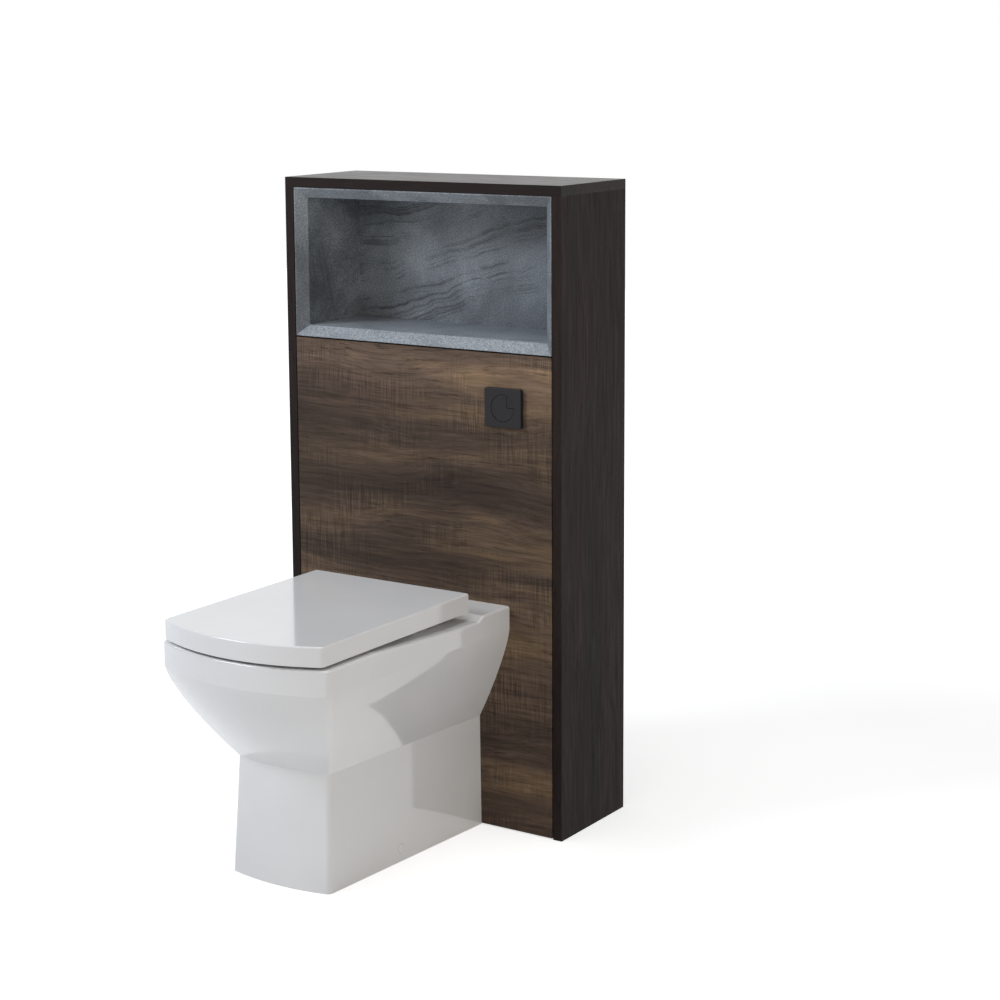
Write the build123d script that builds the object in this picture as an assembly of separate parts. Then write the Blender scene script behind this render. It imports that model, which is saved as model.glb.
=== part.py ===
from build123d import *
import math
import os

# A toilet furniture unit: a tall narrow cabinet with a stone effect niche at the top, a concealed
# cistern behind its front panel, a square flush plate, and a back to wall pan with seat and lid.
# Sizes are millimetres. Inside this script y = 0 is the front face of the cabinet, the pan reaches
# towards -y, the wall is at +y and the floor is z = 0. Every piece is shifted once, at the end, so
# that the origin is the middle of the whole unit's footprint on the floor.

# Cabinet carcass
CABINET_WIDTH = 600
CABINET_DEPTH = 220
CABINET_HEIGHT = 1170
BOARD = 18
REVEAL = 2
FLOOR_GAP = 2
RAIL_HEIGHT = 100
LOWER_RAIL_Z = 285
CLEAT_WIDTH = 40
CLEAT_BOTTOM = 60
CLEAT_TOP_GAP = 20
SHELF_SETBACK = 42

# Niche
NICHE_BACK_GAP = 14
NICHE_BOARD = 19
NICHE_LIP = 2
NICHE_BACK_BOARD = 10
NICHE_TOP_GAP = 1
NICHE_PANEL_GAP = 3

# Dowels, studs and screws in the carcass
DOWEL_RADIUS = 4
DOWEL_DEEP = 19
DOWEL_SHALLOW = 11
DOWEL_INSET = 40
HOLE_CLEARANCE = 0.1
HOLE_SPARE_DEPTH = 0.5
STUD_RADIUS = 4
STUD_REACH = 12
STUD_IN_PANEL = 10
CLEAT_SCREW_RADIUS = 2
CLEAT_SCREW_LENGTH = 50
CLEAT_SCREW_HEAD_RADIUS = 4
SCREW_HEAD_HEIGHT = 2.5

# Wall brackets
BRACKET_BELOW_RAIL = 30
BRACKET_HEIGHT = 50
BRACKET_SIDE_FLANGE = 27
BRACKET_WALL_FLANGE = 30
BRACKET_SHEET = 2
BRACKET_WALL_HOLE = 4
BRACKET_SCREW_RADIUS = 2
BRACKET_SCREW_LENGTH = 14
BRACKET_SCREW_INSET = 12

# Flush plate and its two buttons
PLATE_FROM_EDGE = 96
PLATE_BELOW_TANK_RIM = 23
PLATE_WIDTH = 76
PLATE_HEIGHT = 70
PLATE_PROUD = 9
PLATE_CORNER = 4
PLATE_EDGE_ROUND = 1.2
HOUSING_RADIUS = 28
HOUSING_WALL = 3
HOUSING_TANK_GAP = 10
HOUSING_BACK = 4
HOUSING_FLANGE = 32
HOUSING_FLANGE_THICK = 3
HOUSING_PANEL_CLEARANCE = 1
BUTTON_RADIUS = 24
BUTTON_THICK = 6
BUTTON_SETBACK = 0.5
BUTTON_CLEARANCE = 0.5
BUTTON_TRAVEL = 5
BUTTON_SPLIT = 0.8
SPLIT_X = 8.9
SPLIT_Z = 1
STEM_END_Y = 20
FULL_STEM = (-8, -6)
HALF_STEM = (13.5, 11)
FULL_STEM_RADIUS = 6
HALF_STEM_RADIUS = 3.5
FULL_BELLOWS_RADIUS = 10
HALF_BELLOWS_RADIUS = 6
BELLOWS_RIBS = 7
BELLOWS_RIB_DEPTH = 2
BELLOWS_WALL = 1.2
LOCK_NUT_RADIUS = 37
LOCK_NUT_THICK = 8

# Cistern
CISTERN_ABOVE_INLET = 115
TANK_WIDTH = 380
TANK_DEPTH = 125
TANK_HEIGHT = 340
TANK_WALL = 4
TANK_CORNER = 15
TANK_BACK_GAP = 5
TANK_TOP_ROOM = 57
TANK_LID_SHEET = 3
TANK_LID_SKIRT = 12
TANK_LID_CLEARANCE = 0.3
TANK_BOSS_RADIUS = 11
TANK_BOSS_SPREAD = 260
TANK_BOSS_BELOW_RIM = 28
CISTERN_SCREW_RADIUS = 2.5
CISTERN_SCREW_LENGTH = 24
CISTERN_SCREW_HEAD_RADIUS = 6

# Flush valve, in the middle of the tank
VALVE_TAIL_RADIUS = 28
VALVE_TAIL_BORE = 21
VALVE_TAIL_BELOW = 28
VALVE_FLANGE_RADIUS = 40
VALVE_FLANGE_THICK = 6
VALVE_CAGE_RADIUS = 37
VALVE_CAGE_WALL = 3
VALVE_CAGE_HEIGHT = 170
VALVE_WINDOW_HEIGHT = 44
VALVE_WINDOW_WIDTH = 30
VALVE_NUT_RADIUS = 41
VALVE_NUT_THICK = 12
RISER_RADIUS = 11
RISER_BORE = 8.5
RISER_REACH = 92
RISER_DISC_RADIUS = 30
RISER_DISC_THICK = 4
VALVE_SEAL_RADIUS = 31
VALVE_SEAL_THICK = 4
SEAT_GAP = 0.3
VALVE_LIFT = 15
ACTUATOR_RADIUS = 32
ACTUATOR_HEIGHT = 38
NOZZLE_RADIUS = 3.5
NOZZLE_LENGTH = 12
NOZZLE_SPREAD = 44
AIR_TUBE_RADIUS = 2.5
AIR_TUBE_BORE = 1.5
AIR_TUBE_HALF_SPREAD = 6
AIR_TUBE_INSIDE_BEND = 35
AIR_TUBE_FRONT_BEND = 25

# Fill valve and water supply
FILL_FROM_TANK_END = 60
FILL_TAIL_RADIUS = 10.5
FILL_TAIL_BORE = 7
FILL_TAIL_BELOW = 48
FILL_BODY_RADIUS = 14
FILL_BODY_HEIGHT = 250
FILL_FLANGE_RADIUS = 19
FILL_FLANGE_THICK = 6
FILL_HEAD_RADIUS = 23
FILL_HEAD_HEIGHT = 34
FILL_COLLAR_RADIUS = 18
FILL_COLLAR_HEIGHT = 90
FILL_COLLAR_THICK = 8
FLOAT_RADIUS = 31
FLOAT_HEIGHT = 60
FLOAT_CLEARANCE = 0.6
FLOAT_TRAVEL = 80
FILL_NUT_RADIUS = 19
FILL_NUT_THICK = 12
HOSE_RADIUS = 6
HOSE_BORE = 4
HOSE_BEND = 100
HOSE_NUT_RADIUS = 16
HOSE_NUT_HEIGHT = 18
HOSE_NUT_OVERLAP = 8
HOSE_OFFSET = 90
STOP_VALVE_TOP = 118
STOP_VALVE_RADIUS = 11
STOP_VALVE_HEIGHT = 62
STOP_VALVE_PIPE_RADIUS = 7.6
STOP_VALVE_PIPE_DEPTH = 16
STOP_VALVE_NUT_RADIUS = 14
STOP_VALVE_NUT_HEIGHT = 12
STOP_SPINDLE_RADIUS = 4
STOP_SPINDLE_CLEARANCE = 0.05
STOP_SPINDLE_WALL = 2
STOP_LEVER_LENGTH = 34
STOP_LEVER_WIDTH = 9
STOP_LEVER_THICK = 4

# Flush pipe from the cistern to the pan
FLUSH_PIPE_RADIUS = 20
FLUSH_PIPE_WALL = 2
FLUSH_PIPE_BEND = 70
FLUSH_INLET_BELOW_DECK = 65
FLUSH_PIPE_INTO_PAN = 95
FLUSH_NUT_RADIUS = 34
FLUSH_NUT_HEIGHT = 26
FLUSH_HOLE_RADIUS = 30
SPIGOT_BORE = 29
SPIGOT_WALL = 9
SPIGOT_END = 60
SPIGOT_DEPTH = 50
FLUSH_WAY_RADIUS = 19
FLUSH_WAY_INTO_BOWL = 20
CONE_LIP_RADIUS = 35
CONE_LIP_THICK = 4
CONE_LENGTH = 36

# Soil outlet
SOIL_Z = 185
SOIL_PIPE_RADIUS = 55
SOIL_PIPE_WALL = 3
SOIL_SOCKET_BORE = 59.5
SOIL_SOCKET_WALL = 3.5
SOIL_SOCKET_LENGTH = 80
SOIL_TAPER_LENGTH = 15
SOIL_HOLE_RADIUS = 66
HORN_RADIUS = 51
HORN_BORE = 42
HORN_END = 40
HORN_LENGTH = 65
SOIL_SEAL_LENGTH = 25
SOIL_SEAL_CLEARANCE = 0.3
SOIL_SEAL_FINS = 3
SOIL_SEAL_FIN_THICK = 3

# Pan
RIM_Z = 420
DECK_DROP = 2
HINGE_DECK_DROP = 10
DECK_DEPTH = 80
DECK_SLOPE_RUN = 16
HINGE_DECK_END = 165
RIM_RISE_END = 380
PAN_HALF_BACK = 191
PAN_HALF_FRONT = 177
PAN_CORNER_REACH = 511
PAN_BOW = 45
PAN_CORNER_RADIUS = 13
BAND_HEIGHT = 44
CREASE_Z = 205
WAIST_HALF_BACK = 126
WAIST_HALF_FRONT = 98
WAIST_REACH = 415
WAIST_BOW = 12
WAIST_CORNER_RADIUS = 10
FOOT_HALF_BACK = 128
FOOT_HALF_FRONT = 105
FOOT_REACH = 428
FOOT_BOW = 14
SWELL_POWER = 1.3
PAN_WALL = 13
RIM_THICK = 14
RIM_EDGE_ROUND = 4.5
BOWL_WIDTH = 250
BOWL_BACK_REACH = 160
BOWL_FRONT_RIM = 46
BOWL_CORNER = 110
BOWL_SHELL = 14
SUMP_Z = 118
SUMP_WIDTH = 86
SUMP_LENGTH = 92
SUMP_BEHIND_CENTRE = 45
TRAP_BORE = 32
TRAP_WALL = 12
TRAP_BEND = 50
TRAP_START_RUN = 10
TRAP_START_RISE = 34
TRAP_DIP_RUN = 68
TRAP_DIP_DROP = 30
TRAP_WEIR_RUN = 122
TRAP_WEIR_RISE = 77
TRAP_END_RUN = 45

# Pan to floor fixing, one each side
FIXING_REACH = 234
FIXING_Z = 23
FIXING_HOLE_RADIUS = 4
CAP_SEAT_RADIUS = 8
CAP_SEAT_DEPTH = 6
CAP_RADIUS = 8.8
CAP_PROUD = 2.4
CAP_PLUG_WALL = 1.2
CAP_CLEARANCE = 0.2
CAP_GAP = 0.05
FIXING_SCREW_RADIUS = 2.5
FIXING_SCREW_LENGTH = 32
FIXING_SCREW_HEAD_RADIUS = 6
FIXING_SCREW_HEAD = 3.4
FLOOR_BRACKET_WIDTH = 34
FLOOR_BRACKET_LENGTH = 34
FLOOR_BRACKET_HEIGHT = 40
FLOOR_BRACKET_FOOT = 12
FLOOR_BRACKET_POST = 12
FLOOR_BRACKET_HOLE = 4
FLOOR_BRACKET_GAP = 1.5

# Seat, lid and their hinge
LID_ABOVE_SEAT = 15
LID_SKIRT_ABOVE_SEAT_FOOT = 1
LID_INSET_BACK = 21.5
LID_INSET_FRONT = 9
LID_BACK_REACH = 95.5
LID_OVERHANG = 5
LID_BOW = 42
LID_CORNER_RADIUS = 9
LID_WALL = 4.5
LID_EDGE_ROUND = 3
LID_BACK_OPENING = 120
LID_HEEL_CUT = 4
SEAT_INSET = 8
SEAT_RISE = 4
SEAT_THICK = 20
SEAT_EDGE_ROUND = 4
SEAT_CORNER_BACK = 134
SEAT_TAIL_HALF = 116
SEAT_TAIL_REACH = 102
SEAT_OVER_BOWL_SIDE = 17
SEAT_OVER_BOWL_END = 30
SEAT_HOLE_CORNER = 95
HINGE_X = 77.5
HINGE_REACH = 108
HINGE_IN_SEAT = 12
HINGE_PIN_RADIUS = 4
HINGE_PIN_LENGTH = 66
PIN_CLEARANCE = 0.05
HINGE_POST_RADIUS = 9
HINGE_POST_WIDTH = 20
HINGE_BASE_RADIUS = 12
HINGE_BASE_THICK = 4
HINGE_BOLT_RADIUS = 3
HINGE_BOLT_HOLE = 7
HINGE_BOLT_LENGTH = 38
HINGE_NUT_RADIUS = 13
HINGE_NUT_HEIGHT = 14
HINGE_NOTCH_HALF = 25.5
HINGE_NOTCH_FRONT = 15
EAR_THICK = 6
EAR_OFFSET = 19.5
EAR_RADIUS = 7
BUFFER_WIDTH = 14
BUFFER_LENGTH = 30
BUFFER_FROM_BOWL = 11
BUFFER_GAP = 0.3
SEAT_BUFFER_REACHES = (215, 440)
LID_BUFFER_X = 112
LID_BUFFER_FROM_CORNER = 16

# Directions
RIGHT = (1, 0, 0)
LEFT = (-1, 0, 0)
BACK = (0, 1, 0)
FRONT = (0, -1, 0)
UP = (0, 0, 1)
DOWN = (0, 0, -1)
SIDES = (-1, 1)
ON_BASE = (Align.CENTER, Align.CENTER, Align.MIN)

# Places worked out from the sizes above
DECK_Z = RIM_Z - DECK_DROP
HINGE_DECK_Z = RIM_Z - HINGE_DECK_DROP
BAND_Z = RIM_Z - BAND_HEIGHT
PAN_FRONT_REACH = PAN_CORNER_REACH + PAN_BOW
BOWL_FRONT_REACH = PAN_FRONT_REACH - BOWL_FRONT_RIM
BOWL_LENGTH = BOWL_FRONT_REACH - BOWL_BACK_REACH
BOWL_CENTRE = (BOWL_FRONT_REACH + BOWL_BACK_REACH) / 2
SUMP_CENTRE = BOWL_CENTRE - SUMP_BEHIND_CENTRE
SEAT_Z = RIM_Z + SEAT_RISE
SEAT_HOLE_WIDTH = BOWL_WIDTH - 2 * SEAT_OVER_BOWL_SIDE
SEAT_HOLE_LENGTH = BOWL_LENGTH - 2 * SEAT_OVER_BOWL_END
SEAT_HOLE_CENTRE = BOWL_CENTRE
BUFFER_X = BOWL_WIDTH / 2 + BUFFER_FROM_BOWL
HINGE_Z = SEAT_Z + HINGE_IN_SEAT
LID_TOP_Z = SEAT_Z + SEAT_THICK + LID_ABOVE_SEAT
LID_SKIRT_Z = SEAT_Z + LID_SKIRT_ABOVE_SEAT_FOOT
LID_HALF_BACK = PAN_HALF_BACK - LID_INSET_BACK
LID_HALF_FRONT = PAN_HALF_FRONT - LID_INSET_FRONT
LID_CORNER_REACH = PAN_CORNER_REACH + LID_OVERHANG
LID_BUFFER_REACH = LID_CORNER_REACH - LID_BUFFER_FROM_CORNER
FLUSH_INLET_Z = HINGE_DECK_Z - FLUSH_INLET_BELOW_DECK
CISTERN_SHELF_TOP = FLUSH_INLET_Z + CISTERN_ABOVE_INLET
CISTERN_SHELF_BOTTOM = CISTERN_SHELF_TOP - BOARD
TANK_RIM = CISTERN_SHELF_TOP + TANK_HEIGHT
TANK_FLOOR = CISTERN_SHELF_TOP + TANK_WALL
UPPER_SHELF_BOTTOM = TANK_RIM + TANK_TOP_ROOM
SIDE_INNER = CABINET_WIDTH / 2 - BOARD
FACE_HALF = SIDE_INNER - REVEAL
TOP_UNDERSIDE = CABINET_HEIGHT - BOARD
RAIL_FRONT_Y = CABINET_DEPTH - BOARD
NICHE_TOP = TOP_UNDERSIDE - NICHE_TOP_GAP
NICHE_BOTTOM = UPPER_SHELF_BOTTOM + BOARD
NICHE_HEIGHT = NICHE_TOP - NICHE_BOTTOM
NICHE_DEPTH = RAIL_FRONT_Y - NICHE_BACK_GAP - NICHE_BACK_BOARD
PANEL_TOP = NICHE_BOTTOM - NICHE_PANEL_GAP
CLEAT_TOP = UPPER_SHELF_BOTTOM - CLEAT_TOP_GAP
BRACKET_Z = TOP_UNDERSIDE - RAIL_HEIGHT - BRACKET_BELOW_RAIL
TANK_FRONT_Y = RAIL_FRONT_Y - TANK_BACK_GAP - TANK_DEPTH
TANK_MID_Y = TANK_FRONT_Y + TANK_DEPTH / 2
TANK_BACK_Y = TANK_FRONT_Y + TANK_DEPTH
FILL_X = FILL_FROM_TANK_END - TANK_WIDTH / 2
HOUSING_LENGTH = TANK_FRONT_Y - HOUSING_TANK_GAP
AIR_TUBE_FRONT_Y = (BOARD + LOCK_NUT_THICK + HOUSING_LENGTH) / 2
PLATE_X = FACE_HALF - PLATE_FROM_EDGE
PLATE_Z = TANK_RIM - PLATE_BELOW_TANK_RIM
VALVE_SEAT = TANK_FLOOR + VALVE_FLANGE_THICK
CAGE_TOP = VALVE_SEAT + VALVE_CAGE_HEIGHT
FRONT_REACH = LID_CORNER_REACH + LID_BOW
FRONT_FACE_Y = (FRONT_REACH - CABINET_DEPTH) / 2

parts = {}


# Plain shapes


def block(x, y, z):
    """A box given by its lowest and highest x, y and z."""
    size = [pair[1] - pair[0] for pair in (x, y, z)]
    middle = [(pair[0] + pair[1]) / 2 for pair in (x, y, z)]
    return Pos(*middle) * Box(*size)


def rod(at, direction, radius, length):
    """A round bar that starts at a point and runs along a direction."""
    return Plane(origin=at, z_dir=direction).location * Cylinder(radius, length, align=ON_BASE)


def tube(at, direction, outer, inner, length):
    """A round tube that starts at a point and runs along a direction."""
    return rod(at, direction, outer, length) - rod(at, direction, inner, length)


def hex_nut(at, direction, radius, bore, length):
    """A six sided nut with a round bore and slightly rounded corners."""
    plane = Plane(origin=at, z_dir=direction)
    nut = extrude(RegularPolygon(radius, 6), length) - Cylinder(bore, length, align=ON_BASE)
    return plane.location * nut


def screw(head_at, direction, shaft_radius, length, head_radius, head_height):
    """A screw: its head starts at a point, its shaft runs on from the head, with a cross recess."""
    plane = Plane(origin=head_at, z_dir=direction)
    head = Cylinder(head_radius, head_height, align=ON_BASE)
    head = chamfer(head.edges().group_by(Axis.Z)[0], head_height * 0.35)
    shaft = Pos(0, 0, head_height) * Cylinder(shaft_radius, length, align=ON_BASE)
    shaft = chamfer(shaft.edges().group_by(Axis.Z)[-1], shaft_radius * 0.5)
    body = head + shaft
    slot_length = head_radius * 1.1
    slot_width = head_radius * 0.22
    for turn in (0, 90):
        slot = Box(slot_length, slot_width, head_height, align=Align.CENTER)
        body -= Rot(0, 0, turn) * slot
    return plane.location * body


def swept_tube(points, bends, outer, inner):
    """A tube along straight runs joined by arcs, and the same tube's solid core."""
    path = FilletPolyline(*points, radius=bends)
    start = Plane(origin=path @ 0, z_dir=path % 0)
    skin = sweep(start * Circle(outer), path=path)
    core = sweep(start * Circle(inner), path=path)
    return skin, core, path


def ring_profile(pairs, at, direction):
    """A solid turned around an axis, from (radius, distance along the axis) pairs."""
    plane = Plane(origin=at, z_dir=direction)
    outline = make_face(Polyline(*[(r, 0, d) for r, d in pairs], close=True))
    return plane.location * revolve(outline, axis=Axis.Z)


def group(solids):
    """Several separate solids as one node."""
    return Compound(children=list(solids))


# Carcass


def shelf_spans():
    """The two shelves of the carcass, as their y and z spans."""
    return {
        "upper_shelf": ((BOARD + REVEAL, CABINET_DEPTH), (UPPER_SHELF_BOTTOM, NICHE_BOTTOM)),
        "cistern_shelf": (
            (BOARD + SHELF_SETBACK, CABINET_DEPTH),
            (CISTERN_SHELF_BOTTOM, CISTERN_SHELF_TOP),
        ),
    }


def rail_spans():
    """The z span of each of the three equal rails at the back: lower, middle and top."""
    lows = (LOWER_RAIL_Z, UPPER_SHELF_BOTTOM - RAIL_HEIGHT, TOP_UNDERSIDE - RAIL_HEIGHT)
    return [(low, low + RAIL_HEIGHT) for low in lows]


def dowel_places():
    """Where each dowel crosses a joint, with the direction into the deeper hole."""
    places = []
    for side in SIDES:
        inward = (-side, 0, 0)
        for y in (DOWEL_INSET, CABINET_DEPTH / 2, CABINET_DEPTH - DOWEL_INSET):
            places.append(((side * (SIDE_INNER + BOARD / 2), y, TOP_UNDERSIDE), DOWN))
        for y_span, z_span in shelf_spans().values():
            for y in (y_span[0] + DOWEL_INSET, y_span[1] - DOWEL_INSET):
                places.append(((side * SIDE_INNER, y, sum(z_span) / 2), inward))
        for low, high in rail_spans():
            for z in (low + BOARD, high - BOARD):
                places.append(((side * SIDE_INNER, RAIL_FRONT_Y + BOARD / 2, z), inward))
    return places


def along(point, direction, distance):
    """A point moved along a direction."""
    return tuple(p + d * distance for p, d in zip(point, direction))


def dowel(place, direction, spare, extra):
    """One dowel, or with a spare radius and length its hole."""
    start = along(place, direction, -DOWEL_SHALLOW - extra)
    length = DOWEL_SHALLOW + DOWEL_DEEP + 2 * extra
    return rod(start, direction, DOWEL_RADIUS + spare, length)


def drilled(board):
    """A carcass board with the dowel holes that reach it."""
    box = board.bounding_box()
    for place, direction in dowel_places():
        middle = along(place, direction, (DOWEL_DEEP - DOWEL_SHALLOW) / 2)
        reach = DOWEL_DEEP + DOWEL_SHALLOW
        low = (box.min.X - reach, box.min.Y - reach, box.min.Z - reach)
        high = (box.max.X + reach, box.max.Y + reach, box.max.Z + reach)
        if all(a < m < b for a, m, b in zip(low, middle, high)):
            board -= dowel(place, direction, HOLE_CLEARANCE, HOLE_SPARE_DEPTH)
    return board


def cleat_screw_places():
    """Where the screws that hold the panel cleats go in, on the cleats' inner faces."""
    middle_y = BOARD * 1.5
    heights = (CLEAT_BOTTOM + CLEAT_WIDTH, (CLEAT_BOTTOM + CLEAT_TOP) / 2, CLEAT_TOP - CLEAT_WIDTH)
    inner = SIDE_INNER - CLEAT_WIDTH
    return [((side * inner, middle_y, z), (side, 0, 0)) for side in SIDES for z in heights]


def stud_places():
    """Where the studs of the lift off front panel meet the cleats."""
    x = SIDE_INNER - CLEAT_WIDTH / 2
    span = CLEAT_TOP - CLEAT_BOTTOM
    heights = [CLEAT_BOTTOM + span * share for share in (0.2, 0.5 + 0.1, 0.85)]
    return [(side * x, BOARD, z) for side in SIDES for z in heights]


def bracket_screw_places():
    """Where the screws of the wall brackets enter the side panels."""
    y = CABINET_DEPTH - BRACKET_SIDE_FLANGE * 0.6
    spread = BRACKET_HEIGHT / 2 - BRACKET_SCREW_INSET
    inner = SIDE_INNER - BRACKET_SHEET
    return [
        ((side * inner, y, BRACKET_Z + step * spread), (side, 0, 0))
        for side in SIDES
        for step in SIDES
    ]


def make_carcass():
    """Side panels, top board, shelves and rails."""
    for side, name in zip(SIDES, ("side_panel_left", "side_panel_right")):
        x = sorted((side * SIDE_INNER, side * CABINET_WIDTH / 2))
        board = drilled(block(x, (0, CABINET_DEPTH), (0, TOP_UNDERSIDE)))
        for place, direction in cleat_screw_places():
            if direction[0] == side:
                hole_radius = CLEAT_SCREW_RADIUS + HOLE_CLEARANCE
                depth = CLEAT_SCREW_LENGTH + SCREW_HEAD_HEIGHT + HOLE_SPARE_DEPTH
                board -= rod(place, direction, hole_radius, depth)
        for place, direction in bracket_screw_places():
            if direction[0] == side:
                hole_radius = BRACKET_SCREW_RADIUS + HOLE_CLEARANCE
                board -= rod(place, direction, hole_radius, BRACKET_SCREW_LENGTH + HOLE_SPARE_DEPTH)
        parts[name] = board
    half = CABINET_WIDTH / 2
    top = block((-half, half), (0, CABINET_DEPTH), (TOP_UNDERSIDE, CABINET_HEIGHT))
    parts["top_board"] = drilled(top)
    for name, (y_span, z_span) in shelf_spans().items():
        parts[name] = drilled(block((-SIDE_INNER, SIDE_INNER), y_span, z_span))
    shelf = parts["cistern_shelf"]
    nut_room = VALVE_NUT_RADIUS + 3 * BUTTON_CLEARANCE
    shelf -= rod((0, TANK_MID_Y, CISTERN_SHELF_BOTTOM - 1), UP, nut_room, BOARD + 2)
    fill_room = FILL_NUT_RADIUS + 3 * BUTTON_CLEARANCE
    shelf -= rod((FILL_X, TANK_MID_Y, CISTERN_SHELF_BOTTOM - 1), UP, fill_room, BOARD + 2)
    parts["cistern_shelf"] = shelf
    rails = []
    for z_span in rail_spans():
        rail = drilled(block((-SIDE_INNER, SIDE_INNER), (RAIL_FRONT_Y, CABINET_DEPTH), z_span))
        for x, z in cistern_screw_places():
            if z_span[0] < z < z_span[1]:
                hole_radius = CISTERN_SCREW_RADIUS + HOLE_CLEARANCE
                rail -= rod((x, RAIL_FRONT_Y - 1, z), BACK, hole_radius, BOARD - 1)
        rails.append(rail)
    parts["rear_rails"] = group(rails)
    dowels = [dowel(place, direction, 0, 0) for place, direction in dowel_places()]
    parts["dowels"] = group(chamfer(d.edges(), 0.8) for d in dowels)


def make_front_panel():
    """The lift off front panel, the cleats behind it and the studs that hold it."""
    panel = block((-FACE_HALF, FACE_HALF), (0, BOARD), (FLOOR_GAP, PANEL_TOP))
    panel -= rod((PLATE_X, -1, PLATE_Z), BACK, HOUSING_RADIUS + HOUSING_PANEL_CLEARANCE, BOARD + 2)
    panel -= rod((0, -1, FLUSH_INLET_Z), BACK, FLUSH_HOLE_RADIUS, BOARD + 2)
    panel -= rod((0, -1, SOIL_Z), BACK, SOIL_HOLE_RADIUS, BOARD + 2)
    studs = []
    cleats = {}
    for side in SIDES:
        x = sorted((side * SIDE_INNER, side * (SIDE_INNER - CLEAT_WIDTH)))
        cleats[side] = block(x, (BOARD, 2 * BOARD), (CLEAT_BOTTOM, CLEAT_TOP))
    stud_length = STUD_IN_PANEL + STUD_REACH
    for x, y, z in stud_places():
        start = (x, y - STUD_IN_PANEL, z)
        stud = rod(start, BACK, STUD_RADIUS, stud_length)
        studs.append(chamfer(stud.edges().group_by(Axis.Y)[-1], 1))
        hole = rod(start, BACK, STUD_RADIUS + HOLE_CLEARANCE, stud_length + HOLE_SPARE_DEPTH)
        panel -= hole
        side = 1 if x > 0 else -1
        cleats[side] -= hole
    screws = []
    for place, direction in cleat_screw_places():
        side = direction[0]
        hole_radius = CLEAT_SCREW_RADIUS + HOLE_CLEARANCE
        head_radius = CLEAT_SCREW_HEAD_RADIUS + HOLE_CLEARANCE
        cleats[side] -= rod(place, direction, hole_radius, CLEAT_WIDTH + 1)
        cleats[side] -= rod(place, direction, head_radius, SCREW_HEAD_HEIGHT)
        head = (CLEAT_SCREW_HEAD_RADIUS, SCREW_HEAD_HEIGHT)
        screws.append(screw(place, direction, CLEAT_SCREW_RADIUS, CLEAT_SCREW_LENGTH, *head))
    parts["front_panel"] = panel
    parts["panel_cleats"] = group(cleats.values())
    parts["panel_studs"] = group(studs)
    parts["cleat_screws"] = group(screws)


def make_wall_brackets():
    """Two steel angles that tie the cabinet to the wall, with their screws."""
    brackets = []
    screws = []
    low = BRACKET_Z - BRACKET_HEIGHT / 2
    high = BRACKET_Z + BRACKET_HEIGHT / 2
    for side in SIDES:
        sheet = sorted((side * SIDE_INNER, side * (SIDE_INNER - BRACKET_SHEET)))
        flange_y = (CABINET_DEPTH - BRACKET_SIDE_FLANGE, CABINET_DEPTH)
        flange = block(sheet, flange_y, (low, high))
        wide = sorted((side * SIDE_INNER, side * (SIDE_INNER - BRACKET_WALL_FLANGE)))
        flange += block(wide, (CABINET_DEPTH - BRACKET_SHEET, CABINET_DEPTH), (low, high))
        hole_at = (side * bracket_hole_x(), CABINET_DEPTH - BRACKET_SHEET - 1, BRACKET_Z)
        flange -= rod(hole_at, BACK, BRACKET_WALL_HOLE, BRACKET_SHEET + 2)
        brackets.append(flange)
    for place, direction in bracket_screw_places():
        side = direction[0]
        hole_radius = BRACKET_SCREW_RADIUS + HOLE_CLEARANCE
        index = 0 if side < 0 else 1
        brackets[index] -= rod(place, direction, hole_radius, BRACKET_SHEET)
        head_at = along(place, direction, -SCREW_HEAD_HEIGHT)
        head = (CLEAT_SCREW_HEAD_RADIUS, SCREW_HEAD_HEIGHT)
        screws.append(screw(head_at, direction, BRACKET_SCREW_RADIUS, BRACKET_SCREW_LENGTH, *head))
    parts["wall_brackets"] = group(brackets)
    parts["wall_bracket_screws"] = group(screws)


def bracket_hole_x():
    """Half the distance between the two wall screws."""
    return SIDE_INNER - BRACKET_WALL_FLANGE * 0.6


def make_niche():
    """The niche: four mitred boards with a bevelled front edge, and a back board."""
    half = FACE_HALF
    inner = half - NICHE_BOARD
    floor_z = NICHE_BOTTOM + NICHE_BOARD
    ceiling_z = NICHE_TOP - NICHE_BOARD
    outlines = {
        "niche_floor": ((-half, NICHE_BOTTOM), (half, NICHE_BOTTOM), (inner, floor_z), (-inner, floor_z)),
        "niche_ceiling": ((-half, NICHE_TOP), (half, NICHE_TOP), (inner, ceiling_z), (-inner, ceiling_z)),
        "niche_side_left": ((-half, NICHE_BOTTOM), (-half, NICHE_TOP), (-inner, ceiling_z), (-inner, floor_z)),
        "niche_side_right": ((half, NICHE_BOTTOM), (half, NICHE_TOP), (inner, ceiling_z), (inner, floor_z)),
    }
    bevel_cut = niche_bevel()
    for name, outline in outlines.items():
        face = make_face(Polyline(*[(x, 0, z) for x, z in outline], close=True))
        parts[name] = extrude(face, NICHE_DEPTH, dir=BACK) - bevel_cut
    back_y = (NICHE_DEPTH, NICHE_DEPTH + NICHE_BACK_BOARD)
    parts["niche_back"] = block((-half, half), back_y, (NICHE_BOTTOM, NICHE_TOP))


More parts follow.
